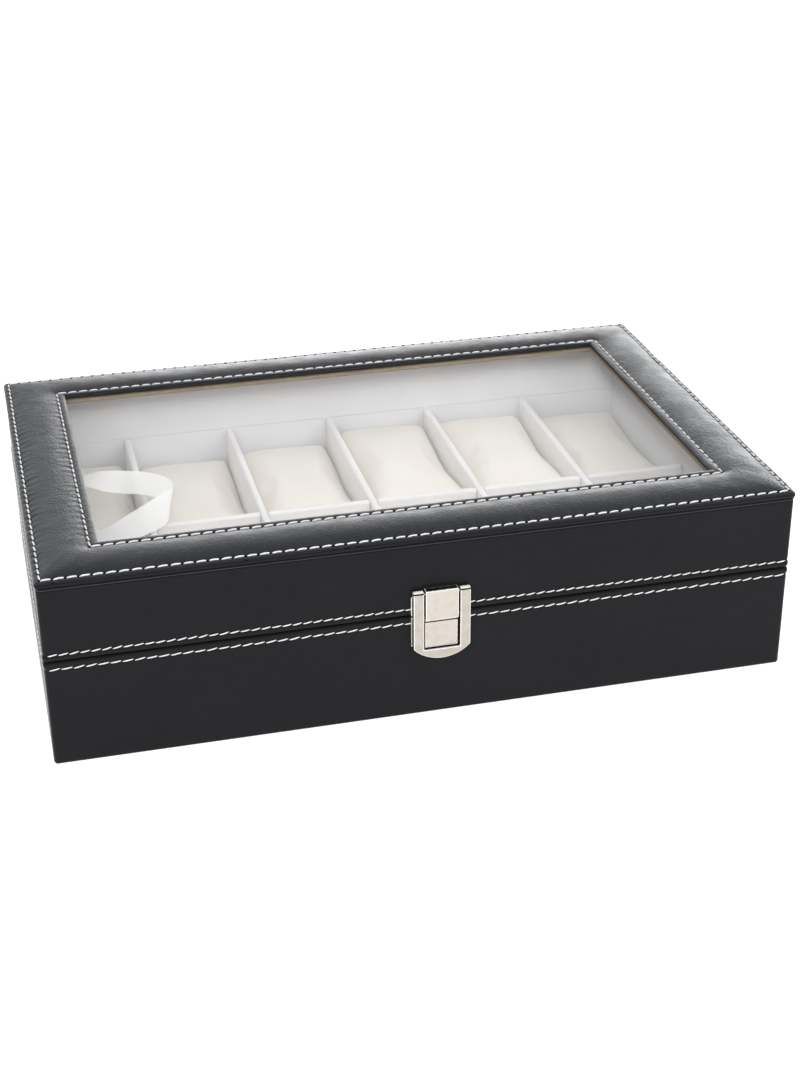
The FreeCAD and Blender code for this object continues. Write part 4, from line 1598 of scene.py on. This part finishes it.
@dataclass
class Latch:
    """Nickel latch: two plates with their blocks, the U-shaped flap, its pin and the nails."""

    edge: float = 0.3 * MM
    widen: float = 0.2 * MM
    slot: float = 14.6 * MM
    plate: float = 0.8 * MM
    crease: float = 0.3 * MM
    nose_drop: float = 1.25 * MM
    ear_drop: float = 0.85 * MM
    recess_margin: float = 0.1 * MM
    recess_depth: float = 0.35 * MM
    block_sides: Pair = (5.5 * MM, 7.0 * MM)

    def __post_init__(self) -> None:
        """Take the latch's place from the CAD model."""
        low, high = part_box("latch_flap")
        self.middle = (low.x + high.x) / 2.0
        self.front = low.y
        self.plate_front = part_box("latch_plate")[1].y - self.plate
        self.catch_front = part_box("latch_catch")[0].y
        self.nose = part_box("latch_plate")[0].z
        self.ears = high.z - self.ear_drop
        self.recess = self.slot / 2.0 + self.recess_margin

    def in_recess(self, face: bpy.types.MeshPolygon) -> bool:
        """Whether a face lies deep between the blocks and the flap, where the plating is painted
        near-black as shade.
        """
        centre, normal = face.center, face.normal
        if abs(centre.x - self.middle) > self.recess:
            return False
        if normal.y < -0.5:
            return centre.y > self.plate_front - self.recess_margin
        return normal.z < 0.5 and centre.y > self.front + self.recess_depth

    def widen_block(self, piece: bpy.types.Object) -> None:
        """Bring a block's sides closer to the flap, where the solids keep a wide clearance."""
        for vert in piece.data.vertices:
            side = vert.co.x - self.middle
            if self.block_sides[0] < abs(side) < self.block_sides[1]:
                vert.co.x += math.copysign(self.widen, side)

    def build(self) -> None:
        """Round the latch's edges, press its creases and give it its plating, with painted shade in the
        creases and recesses and painted highlights on the rounded edges and the ears' tops.
        """
        under_nose = Vector((self.middle, self.catch_front, self.nose - self.nose_drop))
        under_ears = Vector((self.middle, self.front, self.ears))
        nose_crease = Vector((self.slot, 2.0 * self.crease, 1.5 * self.crease))
        ear_crease = Vector((2.0 * self.slot, 4.0 * self.crease, 1.8 * self.crease))
        creases = {
            "latch_plate": [],
            "latch_catch": [(under_nose, nose_crease)],
            "latch_flap": [(under_ears, ear_crease)],
        }
        sides = [self.middle + side * self.recess for side in (-1.0, 1.0)]
        for node, boxes in creases.items():
            is_flap = node == "latch_flap"
            # The flap takes the darker copy of the nickel, painted shade
            plating = Finish.FLAP_NICKEL if is_flap else Finish.NICKEL
            cuts = [] if is_flap else sides
            piece = softened(node, f"nickel_{node}", plating, self.edge, 3, boxes, Finish.BRIGHT, cuts)
            if Finish.TARNISH.value.name not in piece.data.materials:
                piece.data.materials.append(Finish.TARNISH.material)
            dark = piece.data.materials.find(Finish.TARNISH.value.name)
            if not is_flap:
                self.widen_block(piece)
            for face in piece.data.polygons:
                # Faces deep in the recess take the near-black plating, painted shade
                if self.in_recess(face):
                    face.material_index = dark
                # The flap's faces above the ears take the paler plating, a painted highlight
                elif is_flap and face.center.z > self.ears + 0.9 * self.crease:
                    face.material_index = 1
            settle(piece, body_of(node), [node])
        dress(["latch_pin", "latch_plate_nails", "latch_catch_nails"], Finish.NICKEL)


@dataclass
class Hinges:
    """Two steel butt hinges on the back wall, with their screws."""

    edge: float = 0.25 * MM
    slot_length: float = 4.4 * MM
    slot_width: float = 0.5 * MM
    slot_depth: float = 0.35 * MM

    def screws(self, node: str) -> None:
        """Round the heads of a node's screws and cut their slots, each turned across the one before."""
        slots = []
        for number, (low, high) in enumerate(islands(node)):
            middle = (low + high) / 2.0
            middle.y = high.y
            length, width = self.slot_length, self.slot_width
            across, upright = (length, width) if number % 2 else (width, length)
            slots.append((middle, Vector((across, 2.0 * self.slot_depth, upright))))
        # The slots' faces take the near-black finish of the cutting blocks, painted shade
        piece = softened(node, f"steel_{node}", Finish.STEEL, self.edge, 2, slots)
        settle(piece, body_of(node), [node])

    def build(self) -> None:
        """Round the leaves' edges, slot the screws and give the hinges their steel."""
        for hinge in ("left", "right"):
            for leaf in ("base_leaf", "lid_leaf", "pin"):
                node = f"{hinge}_hinge_{leaf}"
                piece = softened(node, f"steel_{node}", Finish.STEEL, self.edge, 2)
                settle(piece, body_of(node), [node])
        for node in ("hinge_base_screws", "hinge_lid_screws"):
            self.screws(node)


@dataclass(frozen=True)
class Studio:
    """Camera at the photograph's angle, plain floor, white surround and soft lamps."""

    azimuth: float = -13.77
    elevation: float = 27.24
    roll: float = -0.52
    distance: float = 0.79958
    slide_right: float = 0.01148
    slide_up: float = -0.0129
    target_height: float = 0.04
    focal_pixels: float = 1828.7
    picture_height: float = 1090.0
    sensor: float = 36.0
    ambient: float = 0.9
    overhead: float = 0.25
    overhead_from: Pair = (0.42, 0.9)
    behind_camera: float = 0.12
    behind_camera_from: Pair = (-0.25, 0.15)
    floor_reach: float = 20.0
    floor_glow: float = 0.66
    aim: Point = (0.0, 0.0, 0.05)

    def camera(self) -> None:
        """Make the camera and set it as the scene's own."""
        angles = (self.azimuth, self.elevation, self.roll)
        turn, lift, tilt = (math.radians(angle) for angle in angles)
        level_reach = math.cos(lift)
        back = Vector((math.sin(turn) * level_reach, -math.cos(turn) * level_reach, math.sin(lift)))
        level = Vector((math.cos(turn), math.sin(turn), 0.0))
        upright = back.cross(level)
        right = level * math.cos(tilt) + upright * math.sin(tilt)
        up = upright * math.cos(tilt) - level * math.sin(tilt)
        eye = Vector((0.0, 0.0, self.target_height)) + back * self.distance
        eye += right * self.slide_right + up * self.slide_up
        data = bpy.data.cameras.new("camera")
        data.sensor_width = self.sensor
        data.lens = self.focal_pixels * self.sensor / self.picture_height
        data.clip_start, data.clip_end = 0.01, 100.0
        camera = bpy.data.objects.new("camera", data)
        camera.matrix_world = Matrix.Translation(eye) @ Matrix((right, up, back)).transposed().to_4x4()
        bpy.context.scene.collection.objects.link(camera)
        bpy.context.scene.camera = camera

    @staticmethod
    def seen_directly(nodes: Nodes) -> Socket:
        """Factor that is 1 for what the camera, gloss or glass sees, and 0 for light on things."""
        path = nodes.add("ShaderNodeLightPath").outputs
        shiny = nodes.math("MAXIMUM", path["Is Camera Ray"], path["Is Glossy Ray"])
        return nodes.math("MAXIMUM", shiny, path["Is Transmission Ray"])

    def surround(self) -> None:
        """White surround, which lights the box only softly.

        Gloss sees it darker overhead and behind the camera, as in a room with a pale far wall.
        """
        world = bpy.data.worlds.new("surround")
        world.use_nodes = True
        nodes = Nodes(world.node_tree)
        direction = nodes.add("ShaderNodeTexCoord").outputs["Generated"]
        split = nodes.add("ShaderNodeSeparateXYZ", {0: direction}).outputs
        fall = nodes.spread(split["Z"], 1.0, self.overhead, *self.overhead_from)
        dim = nodes.spread(split["Y"], self.behind_camera, 1.0, *self.behind_camera_from)
        to_camera = nodes.add("ShaderNodeLightPath").outputs["Is Camera Ray"]
        white = nodes.math("MAXIMUM", to_camera, nodes.math("MULTIPLY", fall, dim))
        seen = nodes.add("ShaderNodeBackground", {"Strength": white})
        seen.inputs["Color"].default_value = WHITE
        light = nodes.tree.nodes["Background"]
        light.inputs["Color"].default_value = (0.96, 0.98, 1.0, 1.0)
        light.inputs["Strength"].default_value = self.ambient
        shaders = {0: self.seen_directly(nodes), 1: light.outputs[0], 2: seen.outputs[0]}
        mix = nodes.add("ShaderNodeMixShader", shaders)
        nodes.join(mix.outputs[0], nodes.tree.nodes["World Output"].inputs["Surface"])
        bpy.context.scene.world = world

    def floor(self) -> None:
        """Pale floor that stays white to the eye and keeps the box's shadow."""
        reach = self.floor_reach
        ways = ((-1.0, -1.0), (1.0, -1.0), (1.0, 1.0), (-1.0, 1.0))
        corners = [(reach * x, reach * y, 0.0) for x, y in ways]
        mesh = bpy.data.meshes.new("floor")
        mesh.from_pydata(corners, [], [(0, 1, 2, 3)])
        floor = bpy.data.objects.new("floor", mesh)
        bpy.context.scene.collection.objects.link(floor)
        graph = Graph("pale_floor")
        graph.fix(Base_Color=(0.6, 0.6, 0.6, 1.0), Roughness=0.9, Specular_IOR_Level=0.0)
        graph.fix(Emission_Color=WHITE)
        glow = graph.math("MULTIPLY", self.seen_directly(graph), self.floor_glow)
        graph.feed("Emission Strength", glow)
        mesh.materials.append(graph.material)

    def lamp(self, name: str, place: Point, size: Pair, power: float, glossy: bool = True) -> None:
        """Rectangular soft lamp that looks at the middle of the box.

        Args:
            name: Name of the lamp.
            place: Where it stands, in metres.
            size: Width and height of its face.
            power: Power in watts.
            glossy: Whether shiny surfaces mirror it.
        """
        data = bpy.data.lights.new(name, "AREA")
        data.shape = "RECTANGLE"
        data.size, data.size_y = size
        data.energy = power
        lamp = bpy.data.objects.new(name, data)
        lamp.location = place
        lamp.visible_glossy = glossy
        look = Vector(self.aim) - Vector(place)
        lamp.rotation_euler = look.to_track_quat("-Z", "Y").to_euler()
        bpy.context.scene.collection.objects.link(lamp)

    def build(self) -> None:
        """Set up the whole studio."""
        self.camera()
        self.surround()
        self.floor()
        self.lamp("key", (0.0, -0.85, 1.15), (1.5, 1.5), 5.2, glossy=False)
        for name, side in (("fill_left", -0.8), ("fill_right", 0.8)):
            self.lamp(name, (side, -1.7, 0.85), (1.2, 1.2), 14.5, glossy=False)
        self.lamp("rim", (0.62, 1.3, 0.25), (1.4, 0.34), 9.0)
        bpy.context.scene.view_settings.view_transform = "Standard"


def dress_plain_nodes() -> None:
    """Finish the CAD pieces that keep their own shape."""
    walls = [f"{part}_{side.name.lower()}_board" for part in ("base", "lid") for side in Side]
    dress([*walls, "base_bottom_board"], Finish.FIBREBOARD)
    dress(["bottom_cover"], Finish.PAPER)
    dress(["glass_pane"], Finish.GLASS)


def wrap_walls(seams: SeamTree) -> None:
    """Make the leather of the lid's walls and of the base's, with the seams that face each other."""
    sides, leaves = ("left", "right"), ("base_leaf", "lid_leaf")
    hinge_plates = [f"{side}_hinge_{leaf}" for side in sides for leaf in leaves]
    lid_stitch = Stitch(
        pitch=4.0 * MM,
        length=3.6 * MM,
        thickness=0.58 * MM,
        seed=8,
        rise=0.3 * MM,
        slant=math.radians(9.0),
        wander=math.radians(3.0),
    )
    lid = WallWrap(seams, Body.LID, rim_up=False, seam_level=48.25 * MM, stitch=lid_stitch)
    lid.build([*hinge_plates, "latch_plate"])
    base_stitch = replace(
        lid_stitch, pitch=4.5 * MM, length=4.1 * MM, slant=math.radians(8.0), seed=9
    )
    base = WallWrap(seams, Body.BASE, rim_up=True, seam_level=42.05 * MM, stitch=base_stitch)
    base.build([*hinge_plates, "latch_catch"])


def main() -> None:
    """Build the box piece by piece."""
    logging.basicConfig(level=logging.INFO, format="%(message)s")
    Studio().build()
    dress_plain_nodes()
    seams = SeamTree()
    PaddedTop(seams).build()
    wrap_walls(seams)
    Linings().build()
    for row, rises in PILLOW_RISES.items():
        for number, rise in enumerate(rises, start=1):
            Pillow(row, number, rise * MM).build()
    Ribbon().build()
    Latch().build()
    Hinges().build()


if __name__ == "__main__":
    main()
